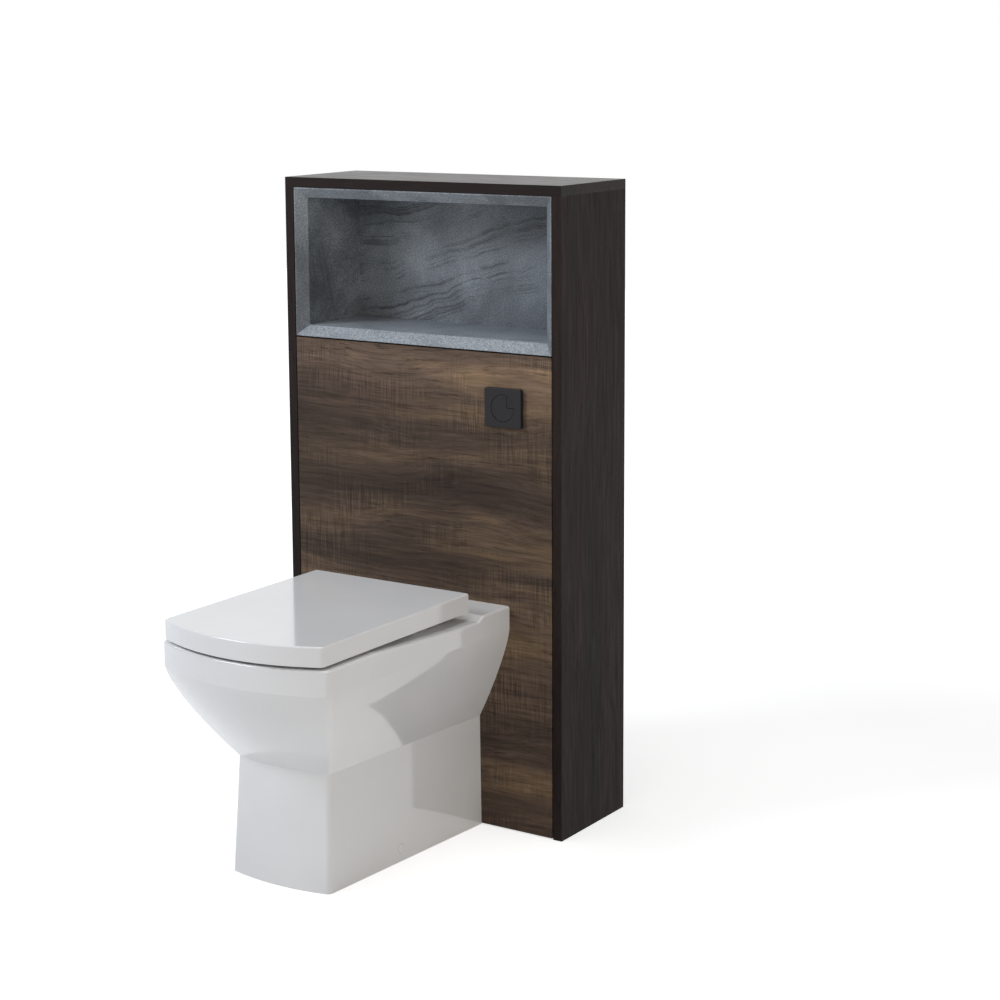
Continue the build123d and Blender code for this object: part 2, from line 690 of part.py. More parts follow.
def niche_bevel():
    """The wedge shaped space in front of the niche's bevelled edge."""
    middle_z = (NICHE_BOTTOM + NICHE_TOP) / 2
    bevel = NICHE_BOARD - NICHE_LIP
    before = 1
    mouth_width = 2 * (FACE_HALF - NICHE_LIP + before)
    mouth_height = NICHE_HEIGHT - 2 * NICHE_LIP + 2 * before
    throat_width = 2 * (FACE_HALF - NICHE_BOARD)
    throat_height = NICHE_HEIGHT - 2 * NICHE_BOARD
    mouth = Plane(origin=(0, -before, middle_z), x_dir=RIGHT, z_dir=BACK) * Rectangle(mouth_width, mouth_height)
    throat = Plane(origin=(0, bevel, middle_z), x_dir=RIGHT, z_dir=BACK) * Rectangle(throat_width, throat_height)
    return loft([mouth, throat], ruled=True)


# Flush plate and buttons


def make_flush_plate():
    """The square plate on the panel, the round housing behind it and its lock nut."""
    outline = RectangleRounded(PLATE_WIDTH, PLATE_HEIGHT, PLATE_CORNER)
    face_plane = Plane(origin=(PLATE_X, 0, PLATE_Z), x_dir=RIGHT, z_dir=FRONT)
    plate = extrude(face_plane * outline, PLATE_PROUD)
    plate = fillet(plate.edges().group_by(Axis.Y)[0], PLATE_EDGE_ROUND)
    centre = (PLATE_X, 0, PLATE_Z)
    hole_at = along(centre, FRONT, PLATE_PROUD + 1)
    plate -= rod(hole_at, BACK, BUTTON_RADIUS + BUTTON_CLEARANCE, PLATE_PROUD + 2)
    recess_at = along(centre, FRONT, HOUSING_FLANGE_THICK + TANK_LID_CLEARANCE)
    recess_radius = HOUSING_FLANGE + HOLE_CLEARANCE
    plate -= rod(recess_at, BACK, recess_radius, HOUSING_FLANGE_THICK + 1)
    parts["flush_plate"] = plate
    flange_at = along(centre, FRONT, HOUSING_FLANGE_THICK)
    housing = rod(flange_at, BACK, HOUSING_FLANGE, HOUSING_FLANGE_THICK)
    housing += rod(flange_at, BACK, HOUSING_RADIUS, HOUSING_FLANGE_THICK + HOUSING_LENGTH)
    bore_depth = HOUSING_FLANGE_THICK + HOUSING_LENGTH - HOUSING_BACK
    housing -= rod(flange_at, BACK, HOUSING_RADIUS - HOUSING_WALL, bore_depth)
    for z in air_tube_heights():
        nozzle_at = (PLATE_X - HOUSING_RADIUS + HOUSING_WALL, AIR_TUBE_FRONT_Y, z)
        housing += rod(nozzle_at, LEFT, NOZZLE_RADIUS, HOUSING_WALL + NOZZLE_LENGTH / 2)
        drill_at = along(nozzle_at, RIGHT, HOUSING_WALL)
        housing -= rod(drill_at, LEFT, AIR_TUBE_BORE, 2 * HOUSING_WALL + NOZZLE_LENGTH)
    parts["button_housing"] = housing
    nut_at = (PLATE_X, BOARD, PLATE_Z)
    nut = rod(nut_at, BACK, LOCK_NUT_RADIUS, LOCK_NUT_THICK)
    grips = 12
    for turn in range(grips):
        angle = math.radians(360 / grips * turn)
        x = PLATE_X + LOCK_NUT_RADIUS * math.cos(angle)
        z = PLATE_Z + LOCK_NUT_RADIUS * math.sin(angle)
        nut -= rod((x, BOARD - 1, z), BACK, LOCK_NUT_THICK / 3, LOCK_NUT_THICK + 2)
    nut -= rod(along(nut_at, FRONT, 1), BACK, HOUSING_RADIUS + HOLE_CLEARANCE, LOCK_NUT_THICK + 2)
    parts["button_lock_nut"] = nut


def make_buttons():
    """The full and half flush buttons, and the air bellows that they press."""
    front_y = -PLATE_PROUD + BUTTON_SETBACK
    disc = rod((PLATE_X, front_y, PLATE_Z), BACK, BUTTON_RADIUS, BUTTON_THICK)
    disc = fillet(disc.edges().group_by(Axis.Y)[0], PLATE_EDGE_ROUND / 2)
    far = 2 * BUTTON_RADIUS
    corner_x = PLATE_X + SPLIT_X
    corner_z = PLATE_Z + SPLIT_Z
    deep = (front_y - 1, front_y + BUTTON_THICK + 1)
    gap = BUTTON_SPLIT / 2
    half_zone = block((corner_x + gap, corner_x + far), deep, (corner_z + gap, corner_z + far))
    cut_zone = block((corner_x - gap, corner_x + far), deep, (corner_z - gap, corner_z + far))
    stem_start = front_y + BUTTON_THICK
    bellows_end = HOUSING_LENGTH - HOUSING_BACK
    pieces = (
        ("full_flush", disc - cut_zone, FULL_STEM, FULL_STEM_RADIUS, FULL_BELLOWS_RADIUS),
        ("half_flush", disc & half_zone, HALF_STEM, HALF_STEM_RADIUS, HALF_BELLOWS_RADIUS),
    )
    for name, cap, stem, stem_radius, bellows_radius in pieces:
        x = PLATE_X + stem[0]
        z = PLATE_Z + stem[1]
        pusher = rod((x, stem_start - 1, z), BACK, stem_radius, STEM_END_Y - stem_start + 1)
        parts[name + "_button"] = cap + pusher
        start_y = STEM_END_Y + SEAT_GAP
        outline = bellows_outline(bellows_radius, bellows_end - start_y)
        parts[name + "_bellows"] = ring_profile(outline, (x, start_y, z), BACK)


def bellows_outline(radius, length):
    """Half the section of a ribbed bellows with a closed front end."""
    step = length / BELLOWS_RIBS
    outer = [(0, 0)]
    for rib in range(BELLOWS_RIBS):
        outer.append((radius - BELLOWS_RIB_DEPTH, rib * step))
        outer.append((radius, (rib + 0.5) * step))
    outer.append((radius - BELLOWS_RIB_DEPTH, length))
    inner = [(r - BELLOWS_WALL, d) for r, d in reversed(outer[1:])]
    inner[-1] = (inner[-1][0], BELLOWS_WALL)
    return outer + inner + [(0, BELLOWS_WALL)]


# Cistern


def tank_outline(grow):
    """The tank's outline seen from above, grown by a distance."""
    width = TANK_WIDTH + 2 * grow
    depth = TANK_DEPTH + 2 * grow
    return Pos(0, TANK_MID_Y, 0) * RectangleRounded(width, depth, TANK_CORNER + grow)


def cistern_screw_places():
    """The x and z of the two screws that hold the tank to the middle rail."""
    z = TANK_RIM - TANK_BOSS_BELOW_RIM
    return [(side * TANK_BOSS_SPREAD / 2, z) for side in SIDES]


def make_tank():
    """The cistern tank, its lid and the screws through its back."""
    tank = Pos(0, 0, CISTERN_SHELF_TOP) * extrude(tank_outline(0), TANK_HEIGHT)
    tank -= Pos(0, 0, TANK_FLOOR) * extrude(tank_outline(-TANK_WALL), TANK_HEIGHT)
    tail_hole = VALVE_TAIL_RADIUS + HOLE_CLEARANCE
    tank -= rod((0, TANK_MID_Y, CISTERN_SHELF_TOP - 1), UP, tail_hole, TANK_WALL + 2)
    fill_hole = FILL_TAIL_RADIUS + HOLE_CLEARANCE
    tank -= rod((FILL_X, TANK_MID_Y, CISTERN_SHELF_TOP - 1), UP, fill_hole, TANK_WALL + 2)
    for x, z in zip(air_nozzle_xs(), air_tube_heights()):
        tube_hole = AIR_TUBE_RADIUS + BUTTON_CLEARANCE
        tank -= rod((x, TANK_FRONT_Y - 1, z), BACK, tube_hole, TANK_WALL + 2)
    screws = []
    head = (CISTERN_SCREW_HEAD_RADIUS, SCREW_HEAD_HEIGHT)
    for x, z in cistern_screw_places():
        boss_length = RAIL_FRONT_Y - TANK_BACK_Y
        tank += rod((x, TANK_BACK_Y, z), BACK, TANK_BOSS_RADIUS, boss_length)
        inside = (x, TANK_BACK_Y - TANK_WALL, z)
        hole_radius = CISTERN_SCREW_RADIUS + HOLE_CLEARANCE
        tank -= rod(inside, BACK, hole_radius, TANK_WALL + boss_length)
        head_at = along(inside, FRONT, SCREW_HEAD_HEIGHT)
        screws.append(screw(head_at, BACK, CISTERN_SCREW_RADIUS, CISTERN_SCREW_LENGTH, *head))
    parts["cistern_tank"] = tank
    parts["cistern_screws"] = group(screws)
    skirt_inner = tank_outline(TANK_LID_CLEARANCE)
    skirt_outer = tank_outline(TANK_LID_CLEARANCE + TANK_LID_SHEET / 2)
    low = TANK_RIM - TANK_LID_SKIRT
    lid = Pos(0, 0, low) * extrude(skirt_outer, TANK_LID_SKIRT + TANK_LID_SHEET)
    lid -= Pos(0, 0, low) * extrude(skirt_inner, TANK_LID_SKIRT)
    parts["cistern_lid"] = lid


def make_flush_valve():
    """The flush valve: fixed body, lifting riser with its seal, actuator and nut below."""
    middle = (0, TANK_MID_Y)
    tail_low = CISTERN_SHELF_TOP - VALVE_TAIL_BELOW
    body = rod((*middle, tail_low), UP, VALVE_TAIL_RADIUS, VALVE_SEAT - tail_low)
    body += rod((*middle, TANK_FLOOR), UP, VALVE_FLANGE_RADIUS, VALVE_FLANGE_THICK)
    body += rod((*middle, VALVE_SEAT), UP, VALVE_CAGE_RADIUS, VALVE_CAGE_HEIGHT)
    room_height = VALVE_CAGE_HEIGHT - VALVE_CAGE_WALL
    room_radius = VALVE_CAGE_RADIUS - VALVE_CAGE_WALL
    body -= rod((*middle, VALVE_SEAT), UP, room_radius, room_height)
    body -= rod((*middle, tail_low - 1), UP, VALVE_TAIL_BORE, VALVE_SEAT - tail_low + 2)
    guide = RISER_RADIUS + BUTTON_CLEARANCE
    body -= rod((*middle, CAGE_TOP - VALVE_CAGE_WALL - 1), UP, guide, VALVE_CAGE_WALL + 2)
    reach = VALVE_CAGE_RADIUS + 1
    half_window = VALVE_WINDOW_WIDTH / 2
    window_z = (VALVE_SEAT + VALVE_FLANGE_THICK, VALVE_SEAT + VALVE_FLANGE_THICK + VALVE_WINDOW_HEIGHT)
    body -= block((-reach, reach), (TANK_MID_Y - half_window, TANK_MID_Y + half_window), window_z)
    body -= block((-half_window, half_window), (TANK_MID_Y - reach, TANK_MID_Y + reach), window_z)
    parts["flush_valve_body"] = body
    seal_low = VALVE_SEAT + SEAT_GAP
    disc_low = seal_low + VALVE_SEAL_THICK
    riser_top = CAGE_TOP + RISER_REACH
    parts["flush_valve_seal"] = tube((*middle, seal_low), UP, VALVE_SEAL_RADIUS, RISER_RADIUS, VALVE_SEAL_THICK)
    riser = rod((*middle, disc_low), UP, RISER_DISC_RADIUS, RISER_DISC_THICK)
    riser += rod((*middle, seal_low), UP, RISER_RADIUS, riser_top - seal_low)
    riser -= rod((*middle, seal_low - 1), UP, RISER_BORE, riser_top - seal_low + 2)
    parts["flush_valve_riser"] = riser
    actuator = tube((*middle, CAGE_TOP), UP, ACTUATOR_RADIUS, guide, ACTUATOR_HEIGHT)
    actuator = fillet(actuator.edges().group_by(Axis.Z)[-1].sort_by(SortBy.LENGTH)[-1], 3)
    for x in air_nozzle_xs():
        nozzle_at = (x, TANK_MID_Y, CAGE_TOP + ACTUATOR_HEIGHT)
        actuator += rod(nozzle_at, UP, NOZZLE_RADIUS, NOZZLE_LENGTH / 2)
        drill_at = along(nozzle_at, DOWN, NOZZLE_LENGTH / 2)
        actuator -= rod(drill_at, UP, AIR_TUBE_BORE, NOZZLE_LENGTH + 1)
    parts["flush_actuator"] = actuator
    nut_at = (*middle, CISTERN_SHELF_TOP - VALVE_NUT_THICK)
    bore = VALVE_TAIL_RADIUS + HOLE_CLEARANCE
    parts["flush_valve_nut"] = hex_nut(nut_at, UP, VALVE_NUT_RADIUS, bore, VALVE_NUT_THICK)


def air_nozzle_xs():
    """The x of the full and half flush nozzles on the actuator."""
    return (NOZZLE_SPREAD / 2, -NOZZLE_SPREAD / 2)


def air_tube_heights():
    """The height at which the full and half flush air tubes run forward."""
    return (PLATE_Z + AIR_TUBE_HALF_SPREAD, PLATE_Z - AIR_TUBE_HALF_SPREAD)


def make_air_tubes():
    """The two air tubes from the button housing to the actuator."""
    names = ("air_tube_full_flush", "air_tube_half_flush")
    start_z = CAGE_TOP + ACTUATOR_HEIGHT + NOZZLE_LENGTH / 2
    end_x = PLATE_X - HOUSING_RADIUS - NOZZLE_LENGTH / 2
    for name, x, z in zip(names, air_nozzle_xs(), air_tube_heights()):
        route = [
            (x, TANK_MID_Y, start_z),
            (x, TANK_MID_Y, z),
            (x, AIR_TUBE_FRONT_Y, z),
            (end_x, AIR_TUBE_FRONT_Y, z),
        ]
        bends = [AIR_TUBE_INSIDE_BEND, AIR_TUBE_FRONT_BEND]
        skin, core, path = swept_tube(route, bends, AIR_TUBE_RADIUS, AIR_TUBE_BORE)
        parts[name] = skin - core
        print(name, "bend radii", bends, "length", round(path.length, 1))


def make_fill_valve():
    """The fill valve, its float and the nut below the tank."""
    middle = (FILL_X, TANK_MID_Y)
    tail_low = CISTERN_SHELF_TOP - FILL_TAIL_BELOW
    body = rod((*middle, tail_low), UP, FILL_TAIL_RADIUS, TANK_FLOOR - tail_low)
    body += rod((*middle, TANK_FLOOR), UP, FILL_FLANGE_RADIUS, FILL_FLANGE_THICK)
    body += rod((*middle, TANK_FLOOR), UP, FILL_BODY_RADIUS, FILL_BODY_HEIGHT)
    collar_low = TANK_FLOOR + FILL_COLLAR_HEIGHT
    body += rod((*middle, collar_low), UP, FILL_COLLAR_RADIUS, FILL_COLLAR_THICK)
    head = rod((*middle, TANK_FLOOR + FILL_BODY_HEIGHT), UP, FILL_HEAD_RADIUS, FILL_HEAD_HEIGHT)
    body += fillet(head.edges(), 2)
    body -= rod((*middle, tail_low - 1), UP, FILL_TAIL_BORE, FILL_TAIL_BELOW + FILL_BODY_HEIGHT)
    parts["fill_valve"] = body
    float_low = collar_low + FILL_COLLAR_THICK + SEAT_GAP
    inner = FILL_BODY_RADIUS + FLOAT_CLEARANCE
    cup = tube((*middle, float_low), UP, FLOAT_RADIUS, inner, FLOAT_HEIGHT)
    parts["fill_valve_float"] = fillet(cup.edges().sort_by(SortBy.LENGTH)[-2:], 3)
    nut_at = (*middle, CISTERN_SHELF_TOP - FILL_NUT_THICK)
    bore = FILL_TAIL_RADIUS + HOLE_CLEARANCE
    parts["fill_valve_nut"] = hex_nut(nut_at, UP, FILL_NUT_RADIUS, bore, FILL_NUT_THICK)


def make_supply():
    """The flexible supply hose, its nuts and the isolating valve with its lever."""
    top = (FILL_X, TANK_MID_Y, CISTERN_SHELF_TOP - FILL_TAIL_BELOW)
    foot = (FILL_X - HOSE_OFFSET, TANK_MID_Y, STOP_VALVE_TOP)
    drop = top[2] - foot[2]
    route = [top, (top[0], top[1], top[2] - drop * 0.35), (foot[0], foot[1], foot[2] + drop * 0.35), foot]
    bends = [HOSE_BEND, HOSE_BEND]
    skin, core, path = swept_tube(route, bends, HOSE_RADIUS, HOSE_BORE)
    parts["supply_hose"] = skin - core
    print("supply_hose bend radii", bends, "length", round(path.length, 1))
    upper = hose_nut(top, DOWN, FILL_TAIL_RADIUS)
    lower = hose_nut(foot, UP, STOP_VALVE_RADIUS)
    parts["supply_hose_nuts"] = group([upper, lower])
    make_stop_valve(foot)


def hose_nut(at, direction, tail_radius):
    """A nut over the end of the hose, that also grips the tail which the hose meets."""
    start = along(at, direction, -HOSE_NUT_OVERLAP)
    bore = HOSE_RADIUS + HOLE_CLEARANCE
    nut = hex_nut(start, direction, HOSE_NUT_RADIUS, bore, HOSE_NUT_HEIGHT)
    return nut - rod(start, direction, tail_radius + HOLE_CLEARANCE, HOSE_NUT_OVERLAP)


def make_stop_valve(top):
    """The isolating valve below the hose: body, pipe socket and quarter turn lever."""
    body = rod(along(top, DOWN, STOP_VALVE_HEIGHT), UP, STOP_VALVE_RADIUS, STOP_VALVE_HEIGHT)
    bottom = along(top, DOWN, STOP_VALVE_HEIGHT)
    nut = Plane(origin=bottom, z_dir=UP).location * extrude(
        RegularPolygon(STOP_VALVE_NUT_RADIUS, 6), STOP_VALVE_NUT_HEIGHT
    )
    body += nut
    middle = along(top, DOWN, STOP_VALVE_HEIGHT / 2)
    stub = STOP_VALVE_RADIUS + STOP_LEVER_THICK
    body += rod(middle, FRONT, STOP_SPINDLE_RADIUS + STOP_SPINDLE_WALL, stub)
    spindle_hole = STOP_SPINDLE_RADIUS + STOP_SPINDLE_CLEARANCE
    body -= rod(middle, FRONT, spindle_hole, stub + 1)
    body -= rod(bottom, UP, STOP_VALVE_PIPE_RADIUS, STOP_VALVE_PIPE_DEPTH)
    body -= rod(top, DOWN, HOSE_BORE, STOP_VALVE_HEIGHT / 3)
    parts["isolating_valve"] = body
    spindle = rod(middle, FRONT, STOP_SPINDLE_RADIUS, stub + BUTTON_CLEARANCE + STOP_LEVER_THICK)
    lever_y = middle[1] - stub - BUTTON_CLEARANCE
    half = STOP_LEVER_WIDTH / 2
    arm_x = (middle[0] - half, middle[0] + half)
    arm = block(arm_x, (lever_y - STOP_LEVER_THICK, lever_y), (middle[2] - STOP_LEVER_LENGTH, middle[2]))
    arm += rod((middle[0], lever_y, middle[2]), FRONT, half + 1, STOP_LEVER_THICK)
    tip = arm.edges().filter_by(Axis.Y).group_by(Axis.Z)[0]
    arm = fillet(tip, half * 0.8)
    parts["isolating_valve_lever"] = spindle + arm


# Pipes between cabinet and pan


def make_flush_pipe():
    """The bent flush pipe, its nut under the cistern and the rubber cone in the pan."""
    top = (0, TANK_MID_Y, CISTERN_SHELF_TOP - VALVE_TAIL_BELOW)
    end = (0, -FLUSH_PIPE_INTO_PAN, FLUSH_INLET_Z)
    corner = (0, TANK_MID_Y, FLUSH_INLET_Z)
    inner = FLUSH_PIPE_RADIUS - FLUSH_PIPE_WALL
    skin, core, path = swept_tube([top, corner, end], [FLUSH_PIPE_BEND], FLUSH_PIPE_RADIUS, inner)
    parts["flush_pipe"] = skin - core
    print("flush_pipe bend radius", FLUSH_PIPE_BEND, "length", round(path.length, 1))
    overlap = VALVE_TAIL_BELOW - VALVE_NUT_THICK
    nut_low = top[2] + overlap - FLUSH_NUT_HEIGHT
    nut = hex_nut((0, TANK_MID_Y, nut_low), UP, FLUSH_NUT_RADIUS, FLUSH_PIPE_RADIUS + HOLE_CLEARANCE, FLUSH_NUT_HEIGHT)
    nut -= rod(top, UP, VALVE_TAIL_RADIUS + HOLE_CLEARANCE, overlap + 1)
    parts["flush_pipe_nut"] = nut
    bore = FLUSH_PIPE_RADIUS + HOLE_CLEARANCE
    lip_back = SPIGOT_END - CONE_LIP_THICK
    outline = (
        (bore, 0),
        (CONE_LIP_RADIUS, 0),
        (CONE_LIP_RADIUS, CONE_LIP_THICK),
        (SPIGOT_BORE - HOLE_CLEARANCE, CONE_LIP_THICK),
        (SPIGOT_BORE - HOLE_CLEARANCE, CONE_LIP_THICK + CONE_LENGTH * 0.4),
        (bore + 2, CONE_LIP_THICK + CONE_LENGTH),
        (bore, CONE_LIP_THICK + CONE_LENGTH),
    )
    parts["flush_cone"] = ring_profile(outline, (0, -lip_back, FLUSH_INLET_Z), FRONT)


def make_soil_connector():
    """The soil connector from the pan's outlet to the wall, with its finned seal."""
    socket_outer = SOIL_SOCKET_BORE + SOIL_SOCKET_WALL
    pipe_bore = SOIL_PIPE_RADIUS - SOIL_PIPE_WALL
    socket_start = -HORN_END - SOIL_SEAL_LENGTH - SOIL_SEAL_FIN_THICK
    length = CABINET_DEPTH - socket_start
    socket_end = SOIL_SOCKET_LENGTH
    taper_end = socket_end + SOIL_TAPER_LENGTH
    outline = (
        (SOIL_SOCKET_BORE, 0),
        (socket_outer, 0),
        (socket_outer, socket_end),
        (SOIL_PIPE_RADIUS, taper_end),
        (SOIL_PIPE_RADIUS, length),
        (pipe_bore, length),
        (pipe_bore, taper_end),
        (SOIL_SOCKET_BORE, socket_end),
    )
    parts["soil_connector"] = ring_profile(outline, (0, socket_start, SOIL_Z), BACK)
    bore = HORN_RADIUS + SOIL_SEAL_CLEARANCE
    base = SOIL_SOCKET_BORE - SOIL_SEAL_CLEARANCE
    web = base - SOIL_SEAL_FIN_THICK / 2
    seal = [(base, 0), (base, SOIL_SEAL_LENGTH)]
    pitch = SOIL_SEAL_LENGTH / SOIL_SEAL_FINS
    for fin in reversed(range(SOIL_SEAL_FINS)):
        start = fin * pitch + (pitch - SOIL_SEAL_FIN_THICK)
        end = start + SOIL_SEAL_FIN_THICK
        if fin < SOIL_SEAL_FINS - 1:
            seal.append((web, end))
        seal.append((bore, end))
        seal.append((bore, start))
        seal.append((web, start))
    seal.append((web, 0))
    parts["soil_seal"] = ring_profile(seal, (0, -HORN_END - SOIL_SEAL_LENGTH, SOIL_Z), BACK)


# Pan


def between(low, high, share):
    """A value between two others."""
    return low + (high - low) * share


def swell(z):
    """How far the bowl has widened at a height: 0 at the crease above the foot, 1 at the band."""
    share = min(max((z - CREASE_Z) / (BAND_Z - CREASE_Z), 0), 1)
    return 1 - (1 - share) ** SWELL_POWER


def pan_section(z, inset, back_y):
    """The pan's outline at a height, drawn in by an inset, as a flat face at that height."""
    if z < CREASE_Z:
        share = z / CREASE_Z
        half_back = between(FOOT_HALF_BACK, WAIST_HALF_BACK, share)
        half_front = between(FOOT_HALF_FRONT, WAIST_HALF_FRONT, share)
        reach = between(FOOT_REACH, WAIST_REACH, share)
        bow = between(FOOT_BOW, WAIST_BOW, share)
        corner = WAIST_CORNER_RADIUS
    else:
        share = swell(z)
        half_back = between(WAIST_HALF_BACK, PAN_HALF_BACK, share)
        half_front = between(WAIST_HALF_FRONT, PAN_HALF_FRONT, share)
        reach = between(WAIST_REACH, PAN_CORNER_REACH, share)
        bow = between(WAIST_BOW, PAN_BOW, share)
        corner = between(WAIST_CORNER_RADIUS, PAN_CORNER_RADIUS, share)
    plan = (half_back - inset, half_front - inset, back_y, -(reach - inset), bow, corner)
    return Pos(0, 0, z) * bowed_outline(*plan)


def bowed_outline(half_back, half_front, back_y, corner_y, bow, corner):
    """A flat outline with a straight back, straight sides and a bowed front."""
    back = Line((-half_back, back_y), (half_back, back_y))
    right = Line((half_back, back_y), (half_front, corner_y))
    front = ThreePointArc((half_front, corner_y), (0, corner_y - bow), (-half_front, corner_y))
    left = Line((-half_front, corner_y), (-half_back, back_y))
    face = make_face([back, right, front, left])
    return fillet(face.vertices().group_by(Axis.Y)[0], corner)


def pan_form(inset, low, high, back_y):
    """The pan's outer form or, drawn in, its hollow: foot, swelling bowl and upright band."""
    foot = loft([pan_section(z, inset, back_y) for z in (low, CREASE_Z)], ruled=True)
    shares = (0, 0.15, 0.3, 0.45, 0.6, 0.75, 0.88, 1)
    levels = [between(CREASE_Z, BAND_Z, share) for share in shares]
    bowl = loft([pan_section(z, inset, back_y) for z in levels])
    band = loft([pan_section(z, inset, back_y) for z in (BAND_Z, high)], ruled=True)
    return foot + bowl + band


def rim_z(reach):
    """Height of the rim at a distance in front of the cabinet, under the seat."""
    share = (reach - HINGE_DECK_END) / (RIM_RISE_END - HINGE_DECK_END)
    return between(HINGE_DECK_Z, RIM_Z, min(max(share, 0), 1))


def above_rim():
    """The space above the pan's top: rear deck, hinge deck and the rim that rises to the front."""
    high = RIM_Z + RIM_THICK
    far = PAN_FRONT_REACH + PAN_WALL
    profile = (
        (1, DECK_Z),
        (-DECK_DEPTH, DECK_Z),
        (-DECK_DEPTH - DECK_SLOPE_RUN, HINGE_DECK_Z),
        (-HINGE_DECK_END, HINGE_DECK_Z),
        (-RIM_RISE_END, RIM_Z),
        (-far, RIM_Z),
        (-far, high),
        (1, high),
    )
    side = make_face(Polyline(*[(0, y, z) for y, z in profile], close=True))
    return extrude(side, PAN_HALF_BACK + 10, dir=RIGHT, both=True)


def bowl_section(z, width, length, reach, corner, grow):
    """One level of the bowl's inside, grown by a distance for the shell around it."""
    outline = RectangleRounded(width + 2 * grow, length + 2 * grow, corner + grow)
    return Pos(0, -reach, z) * outline


def bowl_form(grow, top, bottom):
    """The bowl's inside from the rim to the sump, or the shell around it."""
    waist_z = between(SUMP_Z, RIM_Z, 0.28)
    belly_z = between(SUMP_Z, RIM_Z, 0.52)
    shoulder_z = between(SUMP_Z, RIM_Z, 0.78)
    levels = (
        (top, 1, 1, BOWL_CENTRE, BOWL_CORNER),
        (shoulder_z, 0.93, 0.91, between(BOWL_CENTRE, SUMP_CENTRE, 0.06), BOWL_CORNER * 0.93),
        (belly_z, 0.73, 0.68, between(BOWL_CENTRE, SUMP_CENTRE, 0.36), BOWL_CORNER * 0.74),
        (waist_z, 0.5, 0.44, between(BOWL_CENTRE, SUMP_CENTRE, 0.78), BOWL_CORNER * 0.52),
    )
    faces = []
    for z, wide, long, reach, corner in levels:
        faces.append(bowl_section(z, BOWL_WIDTH * wide, BOWL_LENGTH * long, reach, corner, grow))
    sump_corner = SUMP_WIDTH * 0.48
    faces.append(bowl_section(bottom, SUMP_WIDTH, SUMP_LENGTH, SUMP_CENTRE, sump_corner, grow))
    return loft(faces)


def trap_route():
    """The waterway from the sump over the weir to the outlet."""
    return (
        (0, -SUMP_CENTRE - TRAP_START_RUN, SUMP_Z + TRAP_START_RISE),
        (0, -SUMP_CENTRE + TRAP_DIP_RUN, SUMP_Z - TRAP_DIP_DROP),
        (0, -HORN_END - TRAP_WEIR_RUN, SOIL_Z + TRAP_WEIR_RISE),
        (0, -HORN_END - TRAP_END_RUN, SOIL_Z),
        (0, -HORN_END, SOIL_Z),
    )


def make_pan():
    """The ceramic pan: hollow foot open at back and bottom, bowl, trap, inlet and outlet."""
    outer = pan_form(0, 0, RIM_Z + 8, 0)
    outer -= above_rim()
    top_edges = [edge for edge in outer.edges() if is_rim_edge(edge)]
    outer = fillet(top_edges, RIM_EDGE_ROUND)
    hollow_top = HINGE_DECK_Z - RIM_THICK
    inner = pan_form(PAN_WALL, -1, hollow_top, 1)
    trap_skin, trap_core, _ = swept_tube(trap_route(), [TRAP_BEND] * 3, TRAP_BORE + TRAP_WALL, TRAP_BORE)
    kept = bowl_form(BOWL_SHELL, RIM_Z + 10, SUMP_Z - BOWL_SHELL)
    kept += trap_skin
    kept += rod((0, -HORN_END - HORN_LENGTH, SOIL_Z), BACK, HORN_RADIUS, HORN_LENGTH)
    spigot_inner = BOWL_CENTRE - BOWL_LENGTH / 2 + BOWL_SHELL
    spigot_length = spigot_inner - SPIGOT_END
    kept += rod((0, -spigot_inner, FLUSH_INLET_Z), BACK, SPIGOT_BORE + SPIGOT_WALL, spigot_length)
    pan = outer - (inner - kept)
    pan -= bowl_form(0, RIM_Z + 10, SUMP_Z)
    pan -= trap_core
    pan -= rod((0, -HORN_END - HORN_LENGTH + TRAP_WALL, SOIL_Z), BACK, HORN_BORE, HORN_LENGTH)
    pan -= rod((0, -SPIGOT_END - SPIGOT_DEPTH, FLUSH_INLET_Z), BACK, SPIGOT_BORE, SPIGOT_DEPTH + 1)
    way_start = -BOWL_BACK_REACH - FLUSH_WAY_INTO_BOWL
    pan -= rod((0, way_start, FLUSH_INLET_Z), BACK, FLUSH_WAY_RADIUS, -way_start - SPIGOT_END)
    for side in SIDES:
        bolt_hole = (side * HINGE_X, -HINGE_REACH, HINGE_DECK_Z - RIM_THICK - 1)
        pan -= rod(bolt_hole, UP, HINGE_BOLT_HOLE, RIM_THICK + 2)
        frame = fixing_plane(side).location
        pan -= frame * Pos(0, 0, -PAN_WALL * 2) * Cylinder(FIXING_HOLE_RADIUS, PAN_WALL * 3, align=ON_BASE)
        pan -= frame * Pos(0, 0, -CAP_SEAT_DEPTH) * Cylinder(CAP_SEAT_RADIUS, CAP_SEAT_DEPTH * 2, align=ON_BASE)
    parts["pan"] = pan


def is_rim_edge(edge):
    """Whether an edge lies on the outside of the pan's top, and not across it or at the wall."""
    middle = edge.center()
    low_enough = middle.Z < HINGE_DECK_Z - 2
    at_wall = middle.Y > -1
    across = abs(middle.X) < 1 and middle.Y > -PAN_CORNER_REACH
    ends = [edge.position_at(0).Z, edge.position_at(1).Z]
    upright = abs(ends[0] - ends[1]) > DECK_SLOPE_RUN
    return not (low_enough or at_wall or across or upright)


def foot_half(z, reach):
    """Half the foot's width at a height and a distance in front of the cabinet."""
    share = z / CREASE_Z
    half_back = between(FOOT_HALF_BACK, WAIST_HALF_BACK, share)
    half_front = between(FOOT_HALF_FRONT, WAIST_HALF_FRONT, share)
    return between(half_back, half_front, reach / between(FOOT_REACH, WAIST_REACH, share))


